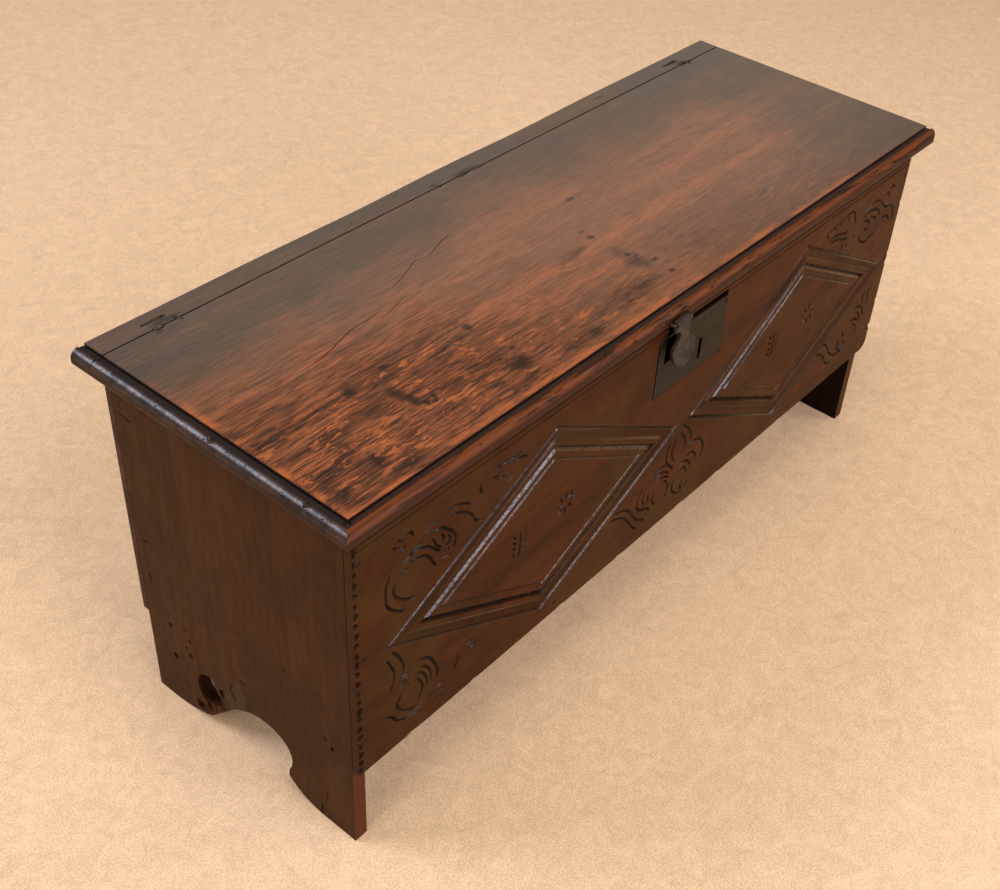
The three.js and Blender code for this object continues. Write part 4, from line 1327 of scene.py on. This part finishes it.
    def _nicks(self, low: Vector, high: Vector) -> list[bpy.types.Object]:
        """The nicks cut down the left upright edge, and a few knocks on the right one."""
        hand = random.Random(5)
        cuts = []
        for z in np.arange(low.z + 7, high.z - 16, self.nick_pitch):
            middle = (low.x + 1.0 + hand.uniform(-0.8, 0.8), low.y - 0.1, z + hand.uniform(-1.2, 1.2))
            radii = tuple(r * hand.uniform(0.8, 1.15) for r in self.nick_radii)
            cuts.append(pebble(middle, radii, len(cuts), 0.3, 2))
        for z in self.right_knocks:
            radii = (2.6, 1.8, hand.uniform(2.5, 5))
            cuts.append(pebble((high.x, low.y - 0.4, z), radii, 60 + len(cuts), 0.4, 2))
        return cuts

    def _wear(self, low: Vector, high: Vector) -> list[bpy.types.Object]:
        """Knocks along the board's lower edge and at its right corner."""
        hand = random.Random(23)
        span = high.x - low.x
        cuts = []
        for share in self.lower_knock_shares:
            x = low.x + span * share + hand.uniform(-12, 12)
            z = low.z + 12 * share - 1.4
            cuts.append(pebble((x, low.y - 0.5, z), (hand.uniform(7, 16), 3.0, 3.2), 40 + len(cuts), 0.3, 2))
        cuts.append(pebble((high.x - 2, low.y - 0.5, self.corner_knock_z), (5, 3, 6), 71, 0.4, 2))
        plate_low, plate_high = edges_of("lock_plate")
        gap_low = (plate_low.x - 2.4, low.y - CUT_OVERRUN, plate_low.z - 1)
        gap_high = (plate_low.x + 0.5, low.y + 2.2, plate_high.z - 5)
        cuts.append(block("plate_gap", gap_low, gap_high))
        return cuts


@dataclass
class EndBoards:
    """The two end boards, the left one with its gnawed hole, scar, cracks and old nail holes."""

    arris: float = 1.1
    dents: tuple[tuple[float, float, float, Size, float, int], ...] = (
        (1.0, 65, 41, (5.5, 12, 17), 0.4, 3),
        (1.5, 43, 62, (4.5, 10, 15), 0.45, 3),
        (1.0, 83, 22, (5.5, 13, 9), 0.5, 3),
        (1.0, 61, 89, (3.0, 16, 8), 0.4, 3),
        (0.6, 13, 98, (3.2, 15, 24), 0.5, 3),
        (0.6, 31, 74, (3.8, 19, 20), 0.5, 3),
        (0.8, -2, 134, (2.4, 7, 5), 0.5, 2),
        (0.0, 126, 84, (6, 5.5, 4.5), 0.4, 2),
        (0.0, 127, 138, (4, 3.2, 4), 0.4, 2),
        (0.0, 94, 107, (4, 5, 3.4), 0.4, 2),
        (0.0, 101, 116, (3, 3, 3), 0.3, 2),
        (0.0, 92, 134, (2.5, 2.4, 4), 0.3, 2),
        (0.0, -151, 141, (3.2, 3.6, 4.6), 0.4, 2),
        (0.0, 146, 441, (3.0, 5, 2.4), 0.4, 2),
        (0.0, -79, 216, (1.6, 4, 2.6), 0.4, 2),
        (0.0, 151, 260, (1.6, 6, 2.2), 0.4, 2),
    )
    cracks: tuple[Line, ...] = (
        ((-126, -1), (-127, 10), (-129, 24)),
        ((-137, 38), (-138, 47), (-137, 54)),
        ((168, 128), (170, 145), (171, 168)),
        ((153, 190), (154, 200), (153, 212)),
        ((146, 441), (156, 443), (168, 444)),
        ((110, 84), (118, 85), (127, 84)),
    )
    crack_width: float = 2.0
    crack_depth: float = 3.0

    def build_left(self) -> bpy.types.Object:
        """The left board."""
        face = edges_of("left_end_board")[0].x
        piece = carried("left_end_board", "worn_left_end_board")
        soften(piece, self.arris)
        cuts = [
            pebble((face - out, y, z), radii, number, rough, fineness)
            for number, (out, y, z, radii, rough, fineness) in enumerate(self.dents, 1)
        ]
        for points in self.cracks:
            line = smooth_path(list(points), 4.0)
            path = np.stack([np.full(len(line), face), line[:, 0], line[:, 1]], axis=1)
            cuts.append(gouge(path, (-1, 0, 0), self.crack_width, self.crack_depth, 8.0))
        carve(piece, cuts)
        return piece

    def build_right(self) -> bpy.types.Object:
        """The right board."""
        piece = carried("right_end_board", "worn_right_end_board")
        soften(piece, self.arris)
        return piece


@dataclass
class MouldedLid:
    """The lid: a field with a run moulding on two edges, and a narrow strip joined on behind."""

    nose: Point = (10.0, 12.0)
    nose_drop: float = 0.8
    undercut: Point = (3.0, 4.0)
    inset: float = 19.0
    channel: Line = (
        (10.7, 3.0),
        (10.8, -1.9),
        (11.5, -2.35),
        (14.0, -2.65),
        (17.0, -2.45),
        (17.7, -3.7),
        (18.5, -3.7),
        (19.3, -0.4),
        (19.8, 0.1),
        (20.4, 3.0),
    )
    step: float = 7.0
    wobble: float = 0.5
    joint_width: float = 1.8
    joint_depth: float = 3.0
    corner_radius: float = 9.0
    cracks: tuple[tuple[Line, float, float], ...] = (
        (((-436, 16), (-402, 20), (-372, 28), (-350, 34), (-320, 35), (-300, 39)), 1.7, 2.2),
        (((-322, 25), (-300, 28), (-278, 34), (-262, 38)), 1.1, 1.4),
        (((-262, 60), (-240, 67), (-215, 76), (-200, 82), (-180, 77)), 1.0, 1.4),
        (((-182, 77), (-160, 86), (-140, 92), (-116, 97)), 1.1, 1.4),
        (((-556, 9), (-530, 6), (-500, 4), (-470, 1)), 0.9, 1.2),
        (((-548, -85), (-520, -83), (-480, -86)), 0.9, 1.2),
        (((-390, -108), (-386, -116), (-378, -119), (-373, -112)), 1.2, 0.7),
        (((440, 118), (458, 124), (476, 121)), 0.9, 1.0),
    )
    left_knocks: Line = ((-578, -3), (-577, -141), (-577, 151), (-574, 128), (-580, 40))
    front_dents: int = 16
    left_dents: int = 12
    nose_breaks: tuple[tuple[float, float, float, Size], ...] = (
        (137, -199, 0.8, (9, 4, 2)),
        (175, -202, 1.4, (12, 2.5, 1.6)),
    )
    joint_breaks: tuple[Size, ...] = (
        (-493, 8, 3.5),
        (-8, 12, 2.6),
        (22, 14, 2.2),
        (490, 12, 3.0),
        (505, 6, 3.5),
        (-52, 7, 2.2),
    )

    def section(self, across: float) -> np.ndarray:
        """The lid's section across one moulded edge, before its channel is cut.

        Args:
            across: How far the section runs.

        Returns:
            Points as distance in from the edge and height below the top.
        """
        under = edges_of("lid_board")[0].z - edges_of("lid_board")[1].z
        wide, tall = self.nose
        arc = np.linspace(0, math.pi / 2, 9)
        nose = [(wide * (1 - math.cos(a)), -tall + (tall - self.nose_drop) * math.sin(a)) for a in arc]
        low = [
            (self.undercut[0] * (1 - math.sin(a)), under + self.undercut[1] * (1 - math.cos(a)))
            for a in np.linspace(0, math.pi / 2, 5)
        ]
        rest = [(self.inset - 0.3, -self.nose_drop), (self.inset, 0.0), (across, 0.0), (across, under)]
        return np.array([*low, *nose, *rest])

    def build(self) -> tuple[bpy.types.Object, bpy.types.Object]:
        """The field and the strip behind it."""
        low, high = edges_of("lid_board")
        strip_low, strip_high = edges_of("lid_rear_strip")
        field = self._moulded("moulded_lid_board", low, strip_high)
        strip = self._moulded("moulded_lid_strip", low, strip_high)
        carve(field, [self._field_keep(low, high)], "INTERSECT")
        carve(strip, [self._strip_keep(strip_low, strip_high)], "INTERSECT")
        for piece, seam, wear in (
            (field, high.y, self._knocks(low, high)),
            (strip, strip_low.y, self._joint_wear(strip_low.y, strip_high.z, 1)),
        ):
            channel = self._channel(low, high, strip_high)
            joint = self._joint(low, high, seam)
            carve(piece, [channel, joint, *wear, *self._fastening_holes()])
            soften(piece, 0.5, 2, 60.0)
        return field, strip

    def _moulded(self, name: str, low: Vector, high: Vector) -> bpy.types.Object:
        """The whole lid with both mouldings, before it is parted in field and strip."""
        top = high.z
        front = self.section(high.y - low.y)
        xs = np.arange(low.x - 4, high.x + self.step, self.step)
        xs[-1] = high.x
        rings = [[(x, low.y + u, top + v) for u, v in self._worn(front, x, 3.0, top)] for x in xs]
        piece = loft(name, np.array(rings))
        left = self.section(high.x - low.x + 30)
        ys = np.arange(low.y - 30, high.y + 30, self.step)
        rings = [[(low.x + u, y, top + v) for u, v in self._worn(left, y, 9.0, top)] for y in ys]
        carve(piece, [loft("left_moulding", np.array(rings))], "INTERSECT")
        return piece

    def _worn(self, section: np.ndarray, along: float, seed: float, top: float) -> list[Point]:
        """A section as a hand plane leaves it: its nose strays from straight, always inwards.

        Args:
            section: The true section.
            along: Where along the edge it stands.
            seed: What makes this edge's unevenness its own.
            top: The height of the lid's top.

        Returns:
            The section's points.
        """
        slow = noise.noise(Vector((along * 0.012, seed, top)))
        quick = noise.noise(Vector((along * 0.07, seed + 5, top)))
        push = self.wobble * (1.0 + slow + 0.6 * quick) * 0.5
        return [(u + push * (u < 14), v + push * 0.4 * (0 > v > -8)) for u, v in section]

    def _field_keep(self, low: Vector, high: Vector) -> bpy.types.Object:
        """The cutter that leaves the field, with its right front corner rounded."""
        beyond = 20.0
        radius = self.corner_radius
        corner = [
            (high.x - radius + radius * math.cos(turn), low.y + radius + radius * math.sin(turn))
            for turn in np.linspace(-math.pi / 2, 0, 9)
        ]
        outline = [(low.x - beyond, low.y), *corner, (high.x, high.y), (low.x - beyond, high.y)]
        levels = (low.z - beyond, high.z + beyond)
        return loft("keep", np.array([[(x, y, z) for x, y in outline] for z in levels]))

    def _strip_keep(self, low: Vector, high: Vector) -> bpy.types.Object:
        """The cutter that leaves the rear strip, wavy along its back."""
        xs = np.linspace(low.x - 5, high.x + 5, 90)
        rings = []
        for x in xs:
            share = min(max((high.x - x) / (high.x - low.x), 0), 1)
            dip = 2.6 * (1 + math.sin(2 * math.pi * 3.4 * share)) * (1 - math.cos(2 * math.pi * share)) / 4
            back = high.y - dip
            foot, head = low.z - 5, high.z + 5
            rings.append([(x, low.y, foot), (x, low.y, head), (x, back, head), (x, back, foot)])
        return loft("strip_keep", np.array(rings))

    def _channel(self, low: Vector, high: Vector, strip_high: Vector) -> bpy.types.Object:
        """The cutter of the hollow and the quirk, run along the front edge and round the corner to the back.

        Args:
            low: The field's lowest corner.
            high: The field's highest corner.
            strip_high: The rear strip's highest corner.

        Returns:
            The cutter.
        """
        rings = []
        for x in np.arange(high.x + 12, low.x + 30, -18):
            stray = 0.3 * noise.noise(Vector((x * 0.02, 1, 1)))
            rings.append([(x, low.y + u + stray, high.z + v) for u, v in self.channel])
        rings.append([(low.x + u, low.y + u, high.z + v) for u, v in self.channel])
        for y in np.arange(low.y + 30, strip_high.y + 30, 18):
            stray = 0.3 * noise.noise(Vector((y * 0.02, 7, 1)))
            rings.append([(low.x + u + stray, y, high.z + v) for u, v in self.channel])
        return loft("channel_cut", np.array(rings))

    def _joint(self, low: Vector, high: Vector, y: float) -> bpy.types.Object:
        """The cutter of the worn V over the joint, seen as a dark line along the lid."""
        line = [
            (x, y + 0.25 * noise.noise(Vector((x * 0.03, 4, 2))), high.z - 0.1)
            for x in np.arange(low.x - 12, high.x + 26, 14)
        ]
        return gouge(np.array(line), (0, 0, 1), self.joint_width, self.joint_depth, 1.0, 0.5)

    def _knocks(self, low: Vector, high: Vector) -> list[bpy.types.Object]:
        """Cracks, a knot and dents in the field and its mouldings."""
        top = high.z
        cuts = []
        for points, width, depth in self.cracks:
            line = smooth_path(list(points), 6.0)
            path = np.stack([line[:, 0], line[:, 1], np.full(len(line), top)], axis=1)
            cuts.append(gouge(path, (0, 0, 1), width, depth, 18.0))
        hand = random.Random(31)
        for number, (x, y) in enumerate(self.left_knocks):
            size = (6.5, 5.0, 3.0) if number < 2 else (3.0, 3.5, 1.6)
            cuts.append(pebble((x, y, top - 0.6), size, 90 + number, 0.5))
        for number in range(self.front_dents):
            x = hand.uniform(low.x + 60, high.x - 30)
            size = (hand.uniform(3, 9), hand.uniform(1.2, 2.6), hand.uniform(1.0, 2.2))
            place = (x, low.y + hand.uniform(2, 6), top - hand.uniform(2, 6))
            cuts.append(pebble(place, size, 120 + number, 0.4, 2))
        for number in range(self.left_dents):
            y = hand.uniform(low.y + 20, high.y - 10)
            size = (hand.uniform(0.8, 1.5), hand.uniform(2, 6), hand.uniform(0.8, 1.5))
            place = (low.x + hand.uniform(2, 6), y, top - hand.uniform(2, 6))
            cuts.append(pebble(place, size, 150 + number, 0.4, 2))
        for number, (x, y, drop, size) in enumerate(self.nose_breaks):
            cuts.append(pebble((x, y, top - drop), size, 171 + number, 0.4, 2))
        cuts.extend(self._joint_wear(high.y, top, -1))
        return cuts

    def _joint_wear(self, y: float, top: float, side: int) -> list[bpy.types.Object]:
        """Broken places along the joint; side is -1 on the field and 1 on the strip."""
        return [
            pebble((x, y + side * 0.4, top - 0.2), (wide, deep, 2.4), 200 + number + 10 * side, 0.5, 2)
            for number, (x, wide, deep) in enumerate(self.joint_breaks)
        ]

    def _fastening_holes(self) -> list[bpy.types.Object]:
        """Room for the hinge wires and the hasp's staple, as the frame's own boards have it."""
        cuts = []
        for node in ("left_lid_eye", "right_lid_eye", "hasp_staple"):
            cutter = carried(node, "wire_room")
            swell = cutter.modifiers.new("room", "DISPLACE")
            swell.strength = 0.25 * MM
            swell.mid_level = 0.0
            cuts.append(applied(cutter))
        return cuts


@dataclass
class Ironwork:
    """The lock plate, hasp, staple, hinge wires, lock works and nails."""

    plate_dents: int = 9

    def build(self, iron: bpy.types.Material, works: bpy.types.Material, rusty: bpy.types.Material) -> None:
        """Makes the worn pieces and dresses the rest.

        Args:
            iron: The finish of the iron that shows.
            works: The finish of the lock's works.
            rusty: The finish of the nails.
        """
        plate = carried("lock_plate", "worn_lock_plate")
        soften(plate, 0.45, 2)
        low, high = edges_of("lock_plate")
        hand = random.Random(3)
        dents = []
        for number in range(self.plate_dents):
            place = (hand.uniform(low.x, high.x), low.y - 0.6, hand.uniform(low.z, high.z))
            size = (hand.uniform(3, 8), 1.1, hand.uniform(3, 8))
            dents.append(pebble(place, size, 300 + number, 0.4, 2))
        carve(plate, dents)
        dress(plate, works, Body.CARCASS, Slot.IRON, "lock_plate")
        hasp = carried("hasp", "worn_hasp")
        soften(hasp, 0.9, 3)
        dress(hasp, iron, Body.HASP, Slot.IRON, "hasp")
        for node in bpy.data.objects:
            name = node.get("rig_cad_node")
            if not name or node.hide_render:
                continue
            if "nail" in name:
                keep_shape(node, rusty)
            elif any(word in name for word in ("eye", "staple")):
                keep_shape(node, iron)
            elif any(word in name for word in ("bolt", "keeper", "spring", "cap", "ward")):
                keep_shape(node, works)


WARM_LIGHT = paint(255, 240, 222)
COOL_LIGHT = paint(232, 238, 255)


@dataclass(frozen=True)
class Lamp:
    """A soft lamp: its place, width and height, its power in watts, its colour, and what it points at."""

    name: str
    place: Size
    size: Point
    power: float
    colour: Colour
    aim: Size = (-100, 0, 300)

    def build(self) -> None:
        """Hangs the lamp."""
        data = bpy.data.lights.new(self.name, "AREA")
        data.shape = "RECTANGLE"
        data.size, data.size_y = self.size[0] * MM, self.size[1] * MM
        data.energy = self.power
        data.color = self.colour[:3]
        lamp = new_object(self.name, data)
        lamp.location = Vector(self.place) * MM
        lamp.rotation_euler = (Vector(self.aim) - Vector(self.place)).to_track_quat("-Z", "Y").to_euler()


@dataclass
class Studio:
    """A plain pale floor, soft lights and the camera where the photograph was taken from."""

    camera_place: Size = (-1209.9, -888.4, 1387.2)
    camera_aim: Size = (-109.8, -74.4, 254.3)
    camera_roll: float = 4.7715
    focal_pixels: float = 1382.1
    centre_pixel: Point = (552.0, 446.7)
    sensor: float = 36.0
    floor_reach: float = 9000.0
    floor_dark: Colour = paint(203, 169, 135)
    floor_light: Colour = paint(253, 217, 179)
    surround: Colour = paint(232, 226, 218)
    surround_strength: float = 0.18
    lamps: tuple[Lamp, ...] = (
        Lamp("key", (-300, -300, 5200), (2600, 2600), 60.0, paint(255, 240, 220)),
        Lamp("window_behind", (-2400, 2850, 3470), (2200, 2200), 150.0, COOL_LIGHT),
        Lamp("window_front", (100, -3300, 1400), (1400, 2200), 84.0, COOL_LIGHT, (-200, -190, 350)),
        Lamp("high_front", (-900, -2700, 3600), (1300, 1300), 56.0, WARM_LIGHT),
        Lamp("high_left", (-3600, -500, 2600), (1300, 1300), 40.0, WARM_LIGHT),
        Lamp("high_right", (2480, -2540, 2320), (900, 900), 34.0, paint(248, 242, 240)),
        Lamp("wall", (3700, 2400, 2800), (6400, 2200), 34.0, paint(250, 238, 220), (3700, 0, 1200)),
    )

    def build(self) -> None:
        """Everything that isn't the chest."""
        self._camera()
        self._floor()
        self._surround()
        for lamp in self.lamps:
            lamp.build()

    def _camera(self) -> None:
        """The camera, with the photograph's principal point."""
        data = bpy.data.cameras.new("camera")
        data.sensor_width = self.sensor
        data.lens = self.focal_pixels / IMAGE_WIDTH * self.sensor
        data.shift_x = (IMAGE_WIDTH / 2 - self.centre_pixel[0]) / IMAGE_WIDTH
        data.shift_y = (self.centre_pixel[1] - IMAGE_HEIGHT / 2) / IMAGE_WIDTH
        camera = new_object("camera", data)
        place = Vector(self.camera_place) * MM
        ahead = (Vector(self.camera_aim) * MM - place).normalized()
        right = ahead.cross(Vector((0, 0, 1))).normalized()
        up = right.cross(ahead)
        roll = math.radians(self.camera_roll)
        tilted_right = right * math.cos(roll) + up * math.sin(roll)
        tilted_up = up * math.cos(roll) - right * math.sin(roll)
        turn = Matrix((tilted_right, tilted_up, -ahead)).transposed()
        camera.matrix_world = Matrix.Translation(place) @ turn.to_4x4()
        bpy.context.scene.camera = camera

    def _floor(self) -> None:
        """The floor."""
        reach = self.floor_reach
        outline = np.array([(-reach, -reach, 0), (reach, -reach, 0), (reach, reach, 0), (-reach, reach, 0)])
        mesh = bpy.data.meshes.new("floor")
        mesh.from_pydata([tuple(corner) for corner in outline * MM], [], [(0, 1, 2, 3)])
        floor = new_object("floor", mesh)
        tree = Tree("pale_floor")
        grain = tree.noise(tree.place, 420.0, 5.0, 0.85)
        tufts = tree.noise(tree.place, 36.0, 6.0, 0.75, 1.2)
        pile = grain * 0.75 + tufts * 0.25
        colour = tree.blend(pile.rise(0.36, 0.64), self.floor_dark, self.floor_light)
        floor.data.materials.append(tree.finish(colour, 0.95, pile, 1.0, specular=0.1))

    def _surround(self) -> None:
        """The pale surround, which fills the shadows a little."""
        world = bpy.data.worlds.new("surround")
        world.use_nodes = True
        background = world.node_tree.nodes["Background"]
        background.inputs["Color"].default_value = self.surround
        background.inputs["Strength"].default_value = self.surround_strength
        bpy.context.scene.world = world


def corners(box: tuple[Vector, Vector]) -> list[list[float]]:
    """A box as plain lists."""
    return [list(box[0]), list(box[1])]


def main() -> None:
    """Builds the dressed chest in its studio."""
    logging.basicConfig(level=logging.INFO, format="%(name)s: %(message)s")
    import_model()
    bpy.context.scene.view_settings.view_transform = "Standard"
    Studio().build()

    front_oak = CarvedOak(
        "front_oak",
        paint(47, 22, 6),
        paint(68, 32, 9),
        paint(79, 41, 13),
        Grain.ALONG,
        streak_share=0.35,
        specular=0.06,
    )
    lid_oak = LidOak(
        "lid_oak",
        paint(58, 33, 22),
        paint(112, 60, 34),
        paint(150, 84, 46),
        Grain.ALONG,
        specular=0.12,
        wax_roughness=0.29,
    )
    ends_oak = EndOak(
        "left_end_oak",
        paint(53, 28, 11),
        paint(71, 39, 15),
        paint(78, 44, 18),
        Grain.UPRIGHT,
        patch_share=0.75,
        fibre_share=0.2,
        specular=0.06,
        scar=((12, 96, 16, 26), (30, 74, 20, 18), (22, 58, 24, 8)),
    )
    right_oak = replace(ends_oak, name="right_end_oak", scar=(), outer_x=535.0, lit_toe_share=0.0)
    along = Grain.ALONG
    back_oak = OakFinish("back_oak", paint(60, 42, 30), paint(88, 62, 45), paint(104, 76, 56), along, 0.7)
    dry_oak = OakFinish("dry_oak", paint(62, 44, 31), paint(98, 71, 49), paint(122, 92, 65), along, 0.75)
    iron = IronFinish("black_iron", paint(34, 28, 24), paint(64, 53, 44), paint(46, 31, 22))
    works = IronFinish(
        "plate_iron",
        paint(26, 20, 14),
        paint(41, 32, 22),
        paint(38, 25, 15),
        metallic=0.1,
        specular=0.1,
    )
    rusty = IronFinish("nail_iron", paint(22, 18, 16), paint(44, 36, 31), paint(48, 28, 18), 0.65, 0.2)

    carved = CarvedFront().build()
    dress(carved, front_oak.material(), Body.CARCASS, Slot.FRONT, "front_board", crease=CARVED_ANGLE)
    ends = EndBoards()
    dress(ends.build_left(), ends_oak.material(), Body.CARCASS, Slot.END, "left_end_board")
    dress(ends.build_right(), right_oak.material(), Body.CARCASS, Slot.END, "right_end_board")
    field_board, strip = MouldedLid().build()
    lid_material = lid_oak.material()
    dress(field_board, lid_material, Body.LID, Slot.LID, "lid_board")
    dress(strip, lid_material, Body.LID, Slot.LID, "lid_rear_strip")
    dry = dry_oak.material()
    for node, finish, slot in (
        ("back_board", back_oak.material(), Slot.END),
        ("bottom_board", dry, Slot.INNER),
    ):
        plain = carried(node, f"worn_{node}")
        soften(plain, 1.0)
        dress(plain, finish, Body.CARCASS, slot, node)
    for number in range(1, 5):
        keep_shape(bpy.data.objects[f"lid_dowel_{number}"], dry)
    Ironwork().build(iron.material(), works.material(), rusty.material())


if __name__ == "__main__":
    main()
